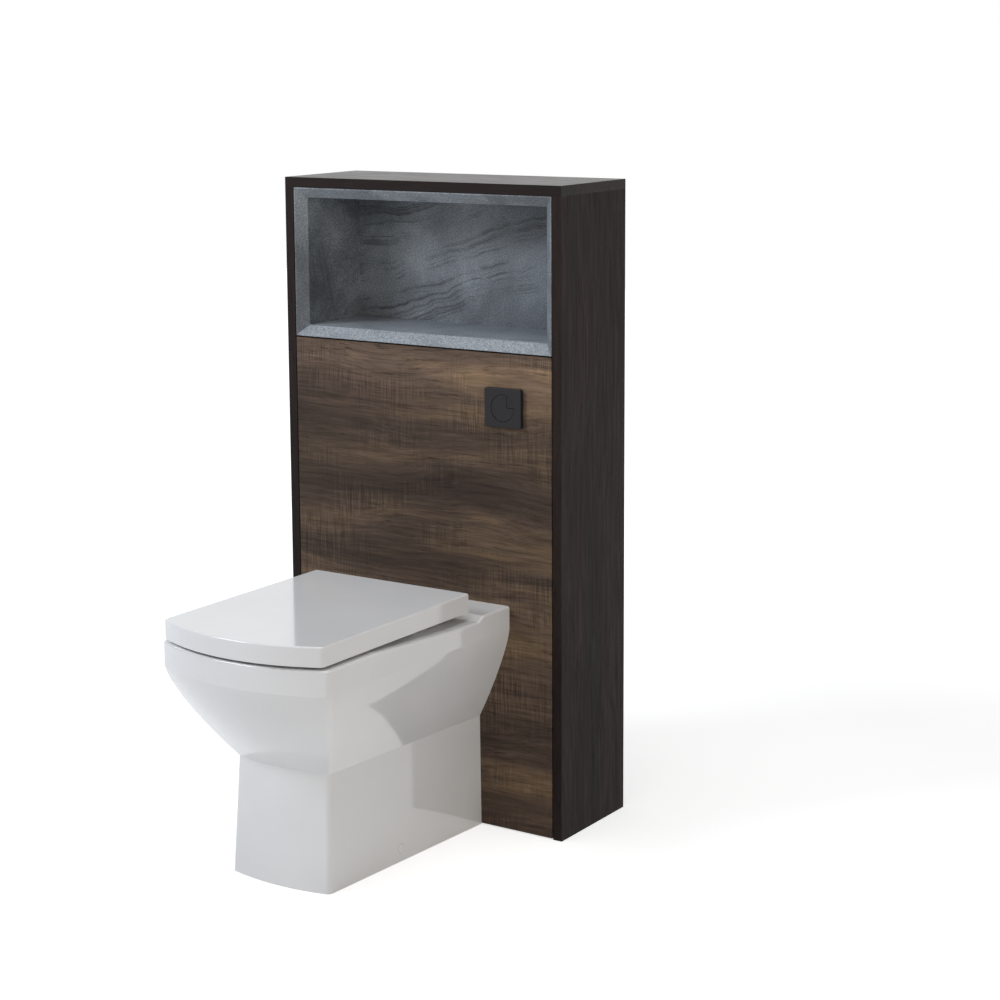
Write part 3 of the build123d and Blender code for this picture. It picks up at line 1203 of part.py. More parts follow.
def fixing_plane(side):
    """A plane on the foot's side whose z axis points out of the ceramic."""
    half = foot_half(FIXING_Z, FIXING_REACH)
    lean = half - foot_half(FIXING_Z, FIXING_REACH + 1)
    fall = half - foot_half(FIXING_Z + 1, FIXING_REACH)
    return Plane(origin=(side * half, -FIXING_REACH, FIXING_Z), z_dir=(side, -lean, fall))


def make_pan_fixings():
    """Floor brackets inside the foot, the screws into them and the caps that hide the screws."""
    brackets = []
    screws = []
    caps = []
    for side in SIDES:
        frame = fixing_plane(side).location
        cap = Cylinder(CAP_RADIUS, CAP_PROUD, align=ON_BASE)
        cap = fillet(cap.edges().group_by(Axis.Z)[-1], CAP_PROUD * 0.6)
        plug_radius = CAP_SEAT_RADIUS - CAP_CLEARANCE
        plug = tube((0, 0, -CAP_SEAT_DEPTH / 2), UP, plug_radius, plug_radius - CAP_PLUG_WALL, CAP_SEAT_DEPTH / 2)
        caps.append(frame * Pos(0, 0, CAP_GAP) * (cap + plug))
        head_at = (0, 0, -CAP_SEAT_DEPTH + FIXING_SCREW_HEAD)
        head = (FIXING_SCREW_HEAD_RADIUS, FIXING_SCREW_HEAD)
        screws.append(frame * screw(head_at, DOWN, FIXING_SCREW_RADIUS, FIXING_SCREW_LENGTH, *head))
        brackets.append(floor_bracket(side, frame))
    parts["pan_fixing_caps"] = group(caps)
    parts["pan_fixing_screws"] = group(screws)
    parts["pan_floor_brackets"] = group(brackets)


def floor_bracket(side, frame):
    """One floor bracket: a foot with a floor screw hole, and a post that takes the side screw."""
    post = block(
        (-FLOOR_BRACKET_LENGTH / 2, FLOOR_BRACKET_LENGTH / 2),
        (-FLOOR_BRACKET_WIDTH, 0),
        (0, FLOOR_BRACKET_HEIGHT),
    )
    post -= block(
        (-FLOOR_BRACKET_LENGTH / 2 - 1, FLOOR_BRACKET_LENGTH / 2 + 1),
        (-FLOOR_BRACKET_WIDTH - 1, -FLOOR_BRACKET_POST),
        (FLOOR_BRACKET_FOOT, FLOOR_BRACKET_HEIGHT + 1),
    )
    hole_y = -(FLOOR_BRACKET_WIDTH + FLOOR_BRACKET_POST) / 2
    post -= rod((0, hole_y, -1), UP, FLOOR_BRACKET_HOLE, FLOOR_BRACKET_FOOT + 2)
    outward = fixing_plane(side).z_dir
    face = fixing_plane(side).origin - outward * (PAN_WALL + FLOOR_BRACKET_GAP)
    seat = Plane(origin=(face.X, face.Y, 0), x_dir=outward.cross(Vector(*UP)), z_dir=UP)
    placed = seat.location * post
    hole_radius = FIXING_SCREW_RADIUS + HOLE_CLEARANCE
    depth = FLOOR_BRACKET_WIDTH + PAN_WALL * 2
    return placed - frame * Pos(0, 0, -depth) * Cylinder(hole_radius, depth, align=ON_BASE)


# Seat and lid


def lid_outline(inset, back_y):
    """The lid's outline seen from above, drawn in by an inset."""
    corner_y = -(LID_CORNER_REACH - inset)
    plan = (LID_HALF_BACK - inset, LID_HALF_FRONT - inset, back_y, corner_y)
    return bowed_outline(*plan, LID_BOW, LID_CORNER_RADIUS)


def make_lid():
    """The lid: a hollow shell that wraps over the seat, with four hinge ears."""
    back_y = -LID_BACK_REACH
    shell = Pos(0, 0, LID_SKIRT_Z) * extrude(lid_outline(0, back_y), LID_TOP_Z - LID_SKIRT_Z)
    back_corners = shell.edges().filter_by(Axis.Z).group_by(Axis.Y)[-1]
    shell = fillet(back_corners, LID_EDGE_ROUND * 1.5)
    shell = fillet(shell.edges().group_by(Axis.Z)[-1], LID_EDGE_ROUND)
    shell = fillet(shell.edges().group_by(Axis.Z)[0], LID_EDGE_ROUND / 3)
    room = LID_TOP_Z - LID_WALL - LID_SKIRT_Z
    shell -= Pos(0, 0, LID_SKIRT_Z) * extrude(lid_outline(LID_WALL, back_y - LID_WALL), room)
    opening_y = (-HINGE_REACH, 0)
    opening_z = (LID_SKIRT_Z - 1, LID_TOP_Z - LID_WALL)
    shell -= block((-LID_BACK_OPENING, LID_BACK_OPENING), opening_y, opening_z)
    heel = ((0, LID_HEEL_CUT), (-LID_HEEL_CUT, 0), (-LID_HEEL_CUT, -1), (1, -1), (1, LID_HEEL_CUT))
    heel_side = [(0, back_y + step, LID_SKIRT_Z + rise) for step, rise in heel]
    shell -= extrude(make_face(Polyline(*heel_side, close=True)), PAN_HALF_BACK, dir=RIGHT, both=True)
    for x in ear_positions():
        start = (x - EAR_THICK / 2, -HINGE_REACH, HINGE_Z)
        ear = rod(start, RIGHT, EAR_RADIUS, EAR_THICK)
        y_span = (-HINGE_REACH - EAR_RADIUS, -HINGE_REACH + EAR_RADIUS)
        ear += block((x - EAR_THICK / 2, x + EAR_THICK / 2), y_span, (HINGE_Z, LID_TOP_Z - LID_WALL))
        ear -= rod(along(start, LEFT, 1), RIGHT, HINGE_PIN_RADIUS + PIN_CLEARANCE, EAR_THICK + 2)
        shell += ear
    parts["seat_lid"] = shell


def ear_positions():
    """The x of the middle of each lid ear, two beside each hinge post."""
    return [side * (HINGE_X + step * EAR_OFFSET) for side in SIDES for step in SIDES]


def make_seat():
    """The seat ring, with a notch for each hinge post and the bores for the hinge pins."""
    tail = block(
        (-SEAT_TAIL_HALF, SEAT_TAIL_HALF),
        (-SEAT_CORNER_BACK - SEAT_INSET, -SEAT_TAIL_REACH),
        (SEAT_Z, SEAT_Z + SEAT_THICK),
    )
    ring = Pos(0, 0, SEAT_Z) * extrude(lid_outline(SEAT_INSET, -SEAT_CORNER_BACK), SEAT_THICK)
    ring += tail
    ring = fillet(ring.edges().group_by(Axis.Z)[-1], SEAT_EDGE_ROUND)
    hole = RectangleRounded(SEAT_HOLE_WIDTH, SEAT_HOLE_LENGTH, SEAT_HOLE_CORNER)
    ring -= Pos(0, -SEAT_HOLE_CENTRE, SEAT_Z) * extrude(hole, SEAT_THICK)
    inner_edges = [edge for edge in ring.edges().group_by(Axis.Z)[-1] if is_seat_hole_edge(edge)]
    ring = fillet(inner_edges, SEAT_EDGE_ROUND * 1.5)
    for side in SIDES:
        x = (side * HINGE_X - HINGE_NOTCH_HALF, side * HINGE_X + HINGE_NOTCH_HALF)
        y = (-HINGE_REACH - HINGE_NOTCH_FRONT, 0)
        ring -= block(x, y, (SEAT_Z - 1, SEAT_Z + SEAT_THICK + 1))
        start = (side * HINGE_X - HINGE_PIN_LENGTH / 2, -HINGE_REACH, HINGE_Z)
        ring -= rod(start, RIGHT, HINGE_PIN_RADIUS + PIN_CLEARANCE, HINGE_PIN_LENGTH)
    parts["seat_ring"] = ring


def is_seat_hole_edge(edge):
    """Whether an edge runs around the hole in the seat."""
    middle = edge.center()
    inside_x = abs(middle.X) < SEAT_HOLE_WIDTH / 2 + 1
    inside_y = abs(middle.Y + SEAT_HOLE_CENTRE) < SEAT_HOLE_LENGTH / 2 + 1
    return inside_x and inside_y


def make_hinges():
    """Hinge posts on the pan's deck, their bolts and nuts, and the pins that the seat carries."""
    posts = []
    bolts = []
    nuts = []
    pins = []
    for side in SIDES:
        x = side * HINGE_X
        base_at = (x, -HINGE_REACH, HINGE_DECK_Z)
        post = rod(base_at, UP, HINGE_BASE_RADIUS, HINGE_BASE_THICK)
        post = fillet(post.edges().group_by(Axis.Z)[-1], HINGE_BASE_THICK / 2)
        post += rod(base_at, UP, HINGE_POST_RADIUS, HINGE_Z - HINGE_DECK_Z)
        barrel_at = (x - HINGE_POST_WIDTH / 2, -HINGE_REACH, HINGE_Z)
        barrel = rod(barrel_at, RIGHT, HINGE_POST_RADIUS, HINGE_POST_WIDTH)
        post += fillet(barrel.edges(), 1)
        bore_at = along(barrel_at, LEFT, 1)
        post -= rod(bore_at, RIGHT, HINGE_PIN_RADIUS + PIN_CLEARANCE, HINGE_POST_WIDTH + 2)
        thread = HINGE_BASE_THICK + HINGE_BOLT_RADIUS
        post -= rod(base_at, UP, HINGE_BOLT_RADIUS + HOLE_CLEARANCE, thread)
        posts.append(post)
        bolt_low = along(base_at, DOWN, HINGE_BOLT_LENGTH - thread)
        bolt = rod(bolt_low, UP, HINGE_BOLT_RADIUS, HINGE_BOLT_LENGTH)
        bolts.append(chamfer(bolt.edges().group_by(Axis.Z)[0], 0.8))
        nut_at = along(base_at, DOWN, RIM_THICK + HINGE_NUT_HEIGHT)
        nut = rod(nut_at, UP, HINGE_NUT_RADIUS, HINGE_NUT_HEIGHT)
        nut = chamfer(nut.edges().group_by(Axis.Z)[0], HINGE_NUT_HEIGHT * 0.6)
        nut -= rod(along(nut_at, DOWN, 1), UP, HINGE_BOLT_RADIUS + HOLE_CLEARANCE, HINGE_NUT_HEIGHT + 2)
        nuts.append(nut)
        pin_at = (x - HINGE_PIN_LENGTH / 2, -HINGE_REACH, HINGE_Z)
        pin = rod(pin_at, RIGHT, HINGE_PIN_RADIUS, HINGE_PIN_LENGTH)
        pins.append(chamfer(pin.edges(), 0.5))
    parts["hinge_posts"] = group(posts)
    parts["hinge_bolts"] = group(bolts)
    parts["hinge_nuts"] = group(nuts)
    parts["hinge_pins"] = group(pins)


def make_buffers():
    """Rubber buffers under the seat ring and under the lid."""
    under_seat = []
    for side in SIDES:
        for reach in SEAT_BUFFER_REACHES:
            low = rim_z(reach + BUFFER_LENGTH / 2) + BUFFER_GAP
            under_seat.append(buffer(side * BUFFER_X, reach, low, SEAT_Z))
    parts["seat_buffers"] = group(under_seat)
    low = SEAT_Z + SEAT_THICK + BUFFER_GAP
    high = LID_TOP_Z - LID_WALL
    lid_buffers = [buffer(side * LID_BUFFER_X, LID_BUFFER_REACH, low, high) for side in SIDES]
    parts["lid_buffers"] = group(lid_buffers)


def buffer(x, reach, low, high):
    """One buffer with rounded ends, between two heights."""
    outline = Pos(x, -reach, low) * RectangleRounded(BUFFER_WIDTH, BUFFER_LENGTH, BUFFER_WIDTH * 0.45)
    return extrude(outline, high - low)


# Build and write every piece

make_carcass()
make_front_panel()
make_wall_brackets()
make_niche()
make_flush_plate()
make_buttons()
make_tank()
make_flush_valve()
make_air_tubes()
make_fill_valve()
make_supply()
make_flush_pipe()
make_soil_connector()
make_pan()
make_pan_fixings()
make_lid()
make_seat()
make_hinges()
make_buffers()

os.makedirs("parts", exist_ok=True)
for name, shape in parts.items():
    export_step(Pos(0, FRONT_FACE_Y, 0) * shape, f"parts/{name}.step")
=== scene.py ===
"""Looks of a toilet furniture unit: cabinet with stone effect niche, flush plate, pan, seat and lid."""

import math

import bpy
from mathutils import Matrix, Vector

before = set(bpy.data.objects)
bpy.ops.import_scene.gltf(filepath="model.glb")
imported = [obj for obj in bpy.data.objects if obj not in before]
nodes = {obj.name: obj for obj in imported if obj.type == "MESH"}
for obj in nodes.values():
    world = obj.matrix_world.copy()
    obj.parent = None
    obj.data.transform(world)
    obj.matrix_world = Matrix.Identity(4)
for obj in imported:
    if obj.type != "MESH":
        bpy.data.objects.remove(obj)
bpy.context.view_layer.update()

# Colours are linear red, green and blue
WOOD_DARK = (0.0823, 0.0569, 0.0439)
WOOD_MID = (0.1447, 0.0999, 0.0731)
WOOD_TAN = (0.3123, 0.2075, 0.1212)
SIDE_DARK = (0.0063, 0.0039, 0.0034)
SIDE_MID = (0.0143, 0.0089, 0.0079)
SIDE_TAN = (0.0229, 0.014, 0.012)
STONE_DARK = (0.0748, 0.0851, 0.096)
STONE_MID = (0.1595, 0.1784, 0.1975)
STONE_PALE = (0.3016, 0.3311, 0.3646)
STONE_VEIN = (0.021, 0.0234, 0.0274)
CERAMIC_PALE = (0.86, 0.865, 0.865)
CERAMIC_DEEP = (0.82, 0.825, 0.83)
BLACK = (0.018, 0.0165, 0.0185)

# Light levels
WORLD_LEVEL = 0.198
KEY_POWER = 58.0
FILL_POWER = 21.83
TOP_POWER = 27.517
FLOOR_GLOW = 0.6
FLOOR_HALF_WIDTH = 8.0

# Light places, in metres
LIGHT_TARGET = (0, 0.1, 0.6)
KEY_PLACE = (-2.0, -2.3, 2.6)
FILL_PLACE = (2.8, -1.6, 1.6)
TOP_PLACE = (0.3, -0.2, 3.4)

# Lighter and darker bands of the front board, by height in metres: partly the board's own tone, partly
# painted light that makes the top brighter and the lower board darker
FRONT_BANDS_AND_PAINTED_LIGHT = [(0.0, 0.6), (0.28, 0.8), (0.4, 0.58), (0.55, 0.55), (0.62, 0.5), (0.74, 0.62), (0.82, 1.0)]


# Node helpers


def put(tree, kind, inputs=None, **settings):
    """Adds a shader node; inputs maps a socket's name or index to a value or to another socket."""
    node = tree.nodes.new(kind)
    for key, value in settings.items():
        setattr(node, key, value)
    for key, value in (inputs or {}).items():
        socket = node.inputs[key]
        if isinstance(value, bpy.types.NodeSocket):
            tree.links.new(value, socket)
        else:
            socket.default_value = value
    return node


def maths(tree, operation, first, second=0.0, clamp=False):
    """One Math node's output."""
    node = put(tree, "ShaderNodeMath", {0: first, 1: second}, operation=operation)
    node.use_clamp = clamp
    return node.outputs[0]


def scaled(tree, vector, factors):
    """A vector multiplied by three factors."""
    node = put(tree, "ShaderNodeVectorMath", {0: vector, 1: factors}, operation="MULTIPLY")
    return node.outputs[0]


def noise(tree, vector, scale=1.0, detail=3.0, roughness=0.5, distortion=0.0):
    """A noise texture's value."""
    inputs = {
        "Vector": vector,
        "Scale": scale,
        "Detail": detail,
        "Roughness": roughness,
        "Distortion": distortion,
    }
    return put(tree, "ShaderNodeTexNoise", inputs).outputs["Fac"]


def ramp(tree, value, stops, ease="LINEAR"):
    """A colour ramp; stops are (position, colour or grey level) pairs."""
    node = put(tree, "ShaderNodeValToRGB", {"Fac": value})
    node.color_ramp.interpolation = ease
    elements = node.color_ramp.elements
    while len(elements) < len(stops):
        elements.new(0.5)
    for element, (position, colour) in zip(elements, stops):
        element.position = position
        grey = isinstance(colour, (int, float))
        element.color = (colour, colour, colour, 1) if grey else (*colour, 1)
    return node.outputs["Color"]


def blended(tree, fac, first, second, mode="MIX"):
    """Two colours mixed."""
    node = put(tree, "ShaderNodeMix", data_type="RGBA", blend_type=mode)
    for index, value in ((0, fac), (6, first), (7, second)):
        socket = node.inputs[index]
        if isinstance(value, bpy.types.NodeSocket):
            tree.links.new(value, socket)
        elif index == 0:
            socket.default_value = value
        else:
            socket.default_value = (*value, 1)
    return node.outputs[2]


def new_material(name):
    """An empty node material, and the rest position of the surface as a vector socket."""
    material = bpy.data.materials.new(name)
    material.use_nodes = True
    tree = material.node_tree
    tree.nodes.clear()
    place = put(tree, "ShaderNodeTexCoord").outputs["Object"]
    return material, tree, place


def surface(tree, colour, roughness, height=None, bump=0.1, depth=0.001, **extra):
    """The principled shader, with an optional bump from a height."""
    inputs = {"Base Color": colour, "Roughness": roughness}
    for key, value in extra.items():
        inputs[key.replace("_", " ")] = value
    if not isinstance(colour, bpy.types.NodeSocket):
        inputs["Base Color"] = (*colour, 1)
    if height is not None:
        relief = {"Strength": bump, "Distance": depth, "Height": height}
        inputs["Normal"] = put(tree, "ShaderNodeBump", relief).outputs["Normal"]
    shader = put(tree, "ShaderNodeBsdfPrincipled", inputs)
    put(tree, "ShaderNodeOutputMaterial", {"Surface": shader.outputs[0]})
    return shader


def dress(names, material):
    """Gives CAD nodes a material in place of all of their own."""
    for name in names:
        mesh = nodes[name].data
        mesh.materials.clear()
        mesh.materials.append(material)


# Wood


def wood(name, order, tones, contrast, saw, seed, rough=0.55, bands_and_painted_light=None, gleam=0.12, above=0.0):
    """Weathered wood effect board.

    order names the axes, the one along the grain first. The height bands dim the board by height, as its
    own tone bands and as painted light that is brighter at the top; gleam is its shine, and above is added
    to that shine on faces that look up.
    """
    material, tree, place = new_material(name)
    parts = put(tree, "ShaderNodeSeparateXYZ", {0: place}).outputs
    axes = {"X": parts[0], "Y": parts[1], "Z": parts[2]}
    shifted = maths(tree, "ADD", axes[order[0]], seed)
    turned = {0: shifted, 1: axes[order[1]], 2: axes[order[2]]}
    along = put(tree, "ShaderNodeCombineXYZ", turned).outputs[0]
    drift = noise(tree, scaled(tree, along, (1.6, 4.0, 4.0)), detail=2.0)
    drift = maths(tree, "MULTIPLY", maths(tree, "SUBTRACT", drift, 0.5), 0.11)
    offset = put(tree, "ShaderNodeCombineXYZ", {0: 0.0, 1: drift, 2: drift}).outputs[0]
    flow = put(tree, "ShaderNodeVectorMath", {0: along, 1: offset}, operation="ADD").outputs[0]
    swirl = noise(tree, scaled(tree, flow, (1.3, 11.0, 11.0)), detail=4.0, roughness=0.6)
    colour = ramp(tree, swirl, [(0.3, tones[0]), (0.5, tones[1]), (0.72, tones[2])])
    # Height bands: the board's own tone bands, plus painted light, brighter at the top and darker lower
    # down
    if bands_and_painted_light:
        level = maths(tree, "ADD", axes["Z"], maths(tree, "MULTIPLY", drift, 0.5))
        colour = blended(tree, 1.0, colour, ramp(tree, level, bands_and_painted_light, "EASE"), "MULTIPLY")
    streaks = noise(tree, scaled(tree, flow, (7.0, 150.0, 150.0)), detail=5.0, roughness=0.65)
    low = 1 - contrast
    high = 1 + contrast
    grain = ramp(tree, streaks, [(0.3, low), (0.5, 1.0), (0.72, high)])
    colour = blended(tree, 1.0, colour, grain, "MULTIPLY")
    fibre = noise(tree, scaled(tree, flow, (26.0, 620.0, 620.0)), detail=3.0, roughness=0.6)
    fine = ramp(tree, fibre, [(0.3, 1 - contrast * 0.7), (0.6, 1 + contrast * 0.35)])
    colour = blended(tree, 1.0, colour, fine, "MULTIPLY")
    patch = noise(tree, scaled(tree, along, (5.0, 11.0, 11.0)), detail=3.0, roughness=0.6)
    patch = ramp(tree, patch, [(0.46, 0.0), (0.64, 1.0)])
    teeth = noise(tree, scaled(tree, along, (330.0, 14.0, 14.0)), detail=2.0, roughness=0.7)
    teeth = ramp(tree, teeth, [(0.38, 1 - saw), (0.62, 1 + saw * 0.8)])
    colour = blended(tree, patch, colour, blended(tree, 1.0, colour, teeth, "MULTIPLY"))
    split = noise(tree, scaled(tree, flow, (9.0, 130.0, 130.0)), detail=6.0, roughness=0.76)
    crack = ramp(tree, split, [(0.58, 0.0), (0.66, 1.0)])
    hollow = tuple(level * 0.3 for level in tones[0])
    colour = blended(tree, maths(tree, "MULTIPLY", crack, 0.8), colour, hollow)
    spots = put(tree, "ShaderNodeTexVoronoi", {"Vector": scaled(tree, flow, (4.5, 9.0, 9.0))})
    knot = ramp(tree, spots.outputs["Distance"], [(0.0, 1.0), (0.09, 0.0)])
    colour = blended(tree, maths(tree, "MULTIPLY", knot, 0.6), colour, tones[0])
    height = maths(tree, "ADD", streaks, maths(tree, "MULTIPLY", fibre, 0.5))
    height = maths(tree, "SUBTRACT", height, maths(tree, "MULTIPLY", crack, 0.8))
    gloss = ramp(tree, streaks, [(0.3, rough + 0.12), (0.7, rough - 0.06)])
    if above:
        facing = put(tree, "ShaderNodeTexCoord").outputs["Normal"]
        facing = put(tree, "ShaderNodeSeparateXYZ", {0: facing}).outputs[2]
        lift = maths(tree, "MULTIPLY", maths(tree, "GREATER_THAN", facing, 0.7), above)
        gleam = maths(tree, "ADD", lift, gleam)
    surface(tree, colour, gloss, height, bump=0.35, depth=0.0006, Specular_IOR_Level=gleam)
    return material


# Stone


def stone(name, pale):
    """Dark stone effect board: cloudy, speckled, with thin dark veins that lie in slanting sheets."""
    material, tree, place = new_material(name)
    clouds = noise(tree, place, scale=5.0, detail=6.0, roughness=0.62, distortion=0.4)
    tones = [(0.32, STONE_DARK), (0.5, STONE_MID), (0.7, STONE_PALE)]
    # pale lifts the whole stone tone; on the niche floor this is painted light, for the light the
    # up-facing floor catches
    colour = ramp(tree, maths(tree, "ADD", clouds, pale), tones)
    fleck = noise(tree, place, scale=340.0, detail=3.0, roughness=0.75)
    speckle = ramp(tree, fleck, [(0.34, 0.55), (0.5, 1.0), (0.66, 1.55)])
    colour = blended(tree, 1.0, colour, speckle, "MULTIPLY")
    sheet = put(tree, "ShaderNodeVectorMath", {0: place, 1: (-0.27, 4.6, 1.0)}, operation="DOT_PRODUCT")
    level = sheet.outputs["Value"]
    sway = noise(tree, scaled(tree, place, (3.0, 3.0, 3.0)), detail=4.0, roughness=0.6)
    level = maths(tree, "ADD", level, maths(tree, "MULTIPLY", sway, 0.13))
    thin = put(tree, "ShaderNodeCombineXYZ", {0: level, 1: 0.0, 2: 0.0}).outputs[0]
    layers = noise(tree, thin, scale=17.0, detail=5.0, roughness=0.7)
    ridge = maths(tree, "ABSOLUTE", maths(tree, "SUBTRACT", layers, 0.5))
    vein = ramp(tree, ridge, [(0.0, 1.0), (0.022, 0.0)])
    breaks = noise(tree, scaled(tree, place, (9.0, 9.0, 9.0)), detail=4.0, roughness=0.7)
    breaks = ramp(tree, breaks, [(0.44, 0.0), (0.6, 1.0)])
    vein = maths(tree, "MULTIPLY", vein, breaks)
    depth = put(tree, "ShaderNodeSeparateXYZ", {0: place}).outputs[1]
    # Few veins show on the bevelled edge, which ends 0.186 m along the depth
    lip = ramp(tree, maths(tree, "MULTIPLY", depth, 4.0), [(0.74, 1.0), (0.76, 0.0)])
    vein = maths(tree, "MULTIPLY", vein, maths(tree, "SUBTRACT", 1.0, maths(tree, "MULTIPLY", lip, 0.85)))
    colour = blended(tree, maths(tree, "MULTIPLY", vein, 0.8), colour, STONE_VEIN)
    height = maths(tree, "SUBTRACT", fleck, vein)
    surface(tree, colour, 0.55, height, bump=0.35, depth=0.0005)
    return material


# Ceramic, plastic, rubber and metal


def glaze(name, roughness):
    """White glaze or polished white plastic, with a very slight waviness."""
    material, tree, place = new_material(name)
    drift = noise(tree, place, scale=7.0, detail=2.0)
    colour = ramp(tree, drift, [(0.3, CERAMIC_DEEP), (0.7, CERAMIC_PALE)])
    waves = noise(tree, place, scale=16.0, detail=2.0)
    surface(tree, colour, roughness, waves, bump=0.05, depth=0.0008, Coat_Weight=0.35, Coat_Roughness=0.03)
    return material


def plastic(name, colour, roughness, texture=900.0, relief=0.15, gleam=0.5):
    """Moulded plastic with a fine spark eroded texture."""
    material, tree, place = new_material(name)
    grit = noise(tree, place, scale=texture, detail=2.0)
    cloud = noise(tree, place, scale=14.0, detail=3.0)
    dim = tuple(level * 0.88 for level in colour)
    tone = ramp(tree, cloud, [(0.35, dim), (0.65, colour)])
    gloss = ramp(tree, grit, [(0.3, roughness + 0.05), (0.7, max(roughness - 0.05, 0.02))])
    surface(tree, tone, gloss, grit, bump=relief, depth=0.0002, Specular_IOR_Level=gleam)
    return material


def rubber(name, colour, roughness=0.75):
    """Soft rubber with a dusty surface."""
    material, tree, place = new_material(name)
    dust = noise(tree, place, scale=180.0, detail=5.0, roughness=0.7)
    pale = tuple(min(level * 1.5 + 0.01, 1.0) for level in colour)
    tone = ramp(tree, dust, [(0.4, colour), (0.75, pale)])
    surface(tree, tone, roughness, dust, bump=0.2, depth=0.0003)
    return material


def metal(name, colour, roughness, lay=(30.0, 30.0, 900.0), relief=0.08):
    """Plated or brushed metal with fine marks along one direction."""
    material, tree, place = new_material(name)
    marks = noise(tree, scaled(tree, place, lay), detail=4.0, roughness=0.6)
    dim = tuple(level * 0.82 for level in colour)
    tone = ramp(tree, marks, [(0.3, dim), (0.7, colour)])
    gloss = ramp(tree, marks, [(0.3, roughness * 1.5), (0.7, roughness * 0.8)])
    surface(tree, tone, gloss, marks, bump=relief, depth=0.0002, Metallic=1.0)
    return material


def braid(name):
    """Braided steel sleeve over a hose."""
    material, tree, place = new_material(name)
    parts = put(tree, "ShaderNodeSeparateXYZ", {0: place}).outputs
    turns = []
    for sign in (1.0, -1.0):
        slant = maths(tree, "ADD", parts[2], maths(tree, "MULTIPLY", parts[1], sign * 0.9))
        turns.append(maths(tree, "SINE", maths(tree, "MULTIPLY", slant, 3600.0)))
    weave = maths(tree, "MULTIPLY", turns[0], turns[1])
    weave = maths(tree, "MULTIPLY", maths(tree, "ADD", weave, 1.0), 0.5)
    tone = ramp(tree, weave, [(0.2, (0.2, 0.2, 0.21)), (0.75, (0.62, 0.62, 0.64))])
    surface(tree, tone, 0.35, weave, bump=0.5, depth=0.0005, Metallic=0.9)
    return material


def plain_board(name):
    """Pale, faintly warm melamine board with faint specks."""
    material, tree, place = new_material(name)
    specks = noise(tree, place, scale=420.0, detail=4.0, roughness=0.7)
    tone = ramp(tree, specks, [(0.35, (0.5, 0.48, 0.44)), (0.6, (0.62, 0.6, 0.56))])
    surface(tree, tone, 0.5, specks, bump=0.1, depth=0.0002)
    return material


def beech(name):
    """Pale beech for the dowels."""
    material, tree, place = new_material(name)
    lines = noise(tree, scaled(tree, place, (60.0, 900.0, 900.0)), detail=4.0)
    tone = ramp(tree, lines, [(0.3, (0.36, 0.22, 0.11)), (0.7, (0.62, 0.43, 0.25))])
    surface(tree, tone, 0.6, lines, bump=0.2, depth=0.0003)
    return material


def clear_tube(name):
    """Milky flexible tube."""
    material, tree, place = new_material(name)
    cloud = noise(tree, place, scale=60.0, detail=2.0)
    tone = ramp(tree, cloud, [(0.3, (0.5, 0.57, 0.6)), (0.7, (0.66, 0.72, 0.74))])
    surface(tree, tone, 0.22, cloud, bump=0.05, depth=0.0003, Transmission_Weight=0.25)
    return material


front_tones = (WOOD_DARK, WOOD_MID, WOOD_TAN)
side_tones = (SIDE_DARK, SIDE_MID, SIDE_TAN)
dress(["front_panel"], wood("wood_front", "XZY", front_tones, 0.36, 0.4, 3.1, bands_and_painted_light=FRONT_BANDS_AND_PAINTED_LIGHT))
dress(["side_panel_left"], wood("wood_side_left", "ZXY", side_tones, 0.28, 0.12, 7.7))
dress(["side_panel_right"], wood("wood_side_right", "ZXY", side_tones, 0.28, 0.12, 1.9))
dress(["top_board"], wood("wood_top", "XZY", side_tones, 0.28, 0.1, 5.3, rough=0.32, above=0.12))
niche_boards = ["niche_ceiling", "niche_side_left", "niche_side_right"]
dress([*niche_boards, "niche_back"], stone("stone_niche", 0.0))
# The niche floor gets a paler copy of the stone: painted light on the board that faces up
dress(["niche_floor"], stone("stone_floor_painted_light", 0.2))
dress(["upper_shelf", "cistern_shelf", "rear_rails", "panel_cleats"], plain_board("carcass_board"))
dress(["dowels"], beech("dowel_wood"))

dress(["pan"], glaze("ceramic_glaze", 0.09))
dress(["seat_lid", "seat_ring", "pan_fixing_caps"], glaze("seat_gloss", 0.12))

black_nodes = ["flush_plate", "full_flush_button", "half_flush_button"]
dress(black_nodes, plastic("matte_black", BLACK, 0.5, gleam=0.2))

white = (0.76, 0.76, 0.74)
dress(
    [
        "cistern_tank",
        "cistern_lid",
        "flush_valve_body",
        "flush_valve_nut",
        "flush_pipe",
        "flush_pipe_nut",
        "soil_connector",
        "fill_valve",
        "fill_valve_nut",
        "hinge_nuts",
        "panel_studs",
    ],
    plastic("white_plastic", white, 0.32),
)
grey_nodes = ["button_housing", "button_lock_nut", "flush_valve_riser", "fill_valve_float"]
dress([*grey_nodes, "pan_floor_brackets"], plastic("grey_plastic", (0.2, 0.21, 0.22), 0.45))
dress(["flush_actuator"], plastic("blue_plastic", (0.05, 0.13, 0.3), 0.4))

seals = ["flush_valve_seal", "flush_cone", "soil_seal", "full_flush_bellows", "half_flush_bellows"]
dress(seals, rubber("black_rubber", (0.02, 0.02, 0.021)))
dress(["seat_buffers", "lid_buffers"], rubber("white_rubber", (0.55, 0.56, 0.54), 0.55))
dress(["air_tube_full_flush", "air_tube_half_flush"], clear_tube("air_tube"))
dress(["supply_hose"], braid("steel_braid"))

chromed = ["hinge_posts", "isolating_valve", "isolating_valve_lever", "supply_hose_nuts"]
dress(chromed, metal("chrome_plate", (0.75, 0.76, 0.77), 0.08, relief=0.02))
steel = ["hinge_pins", "hinge_bolts", "wall_brackets", "wall_bracket_screws", "cleat_screws"]
dress([*steel, "cistern_screws", "pan_fixing_screws"], metal("zinc_steel", (0.55, 0.56, 0.57), 0.32))


# Floor, world, light and camera


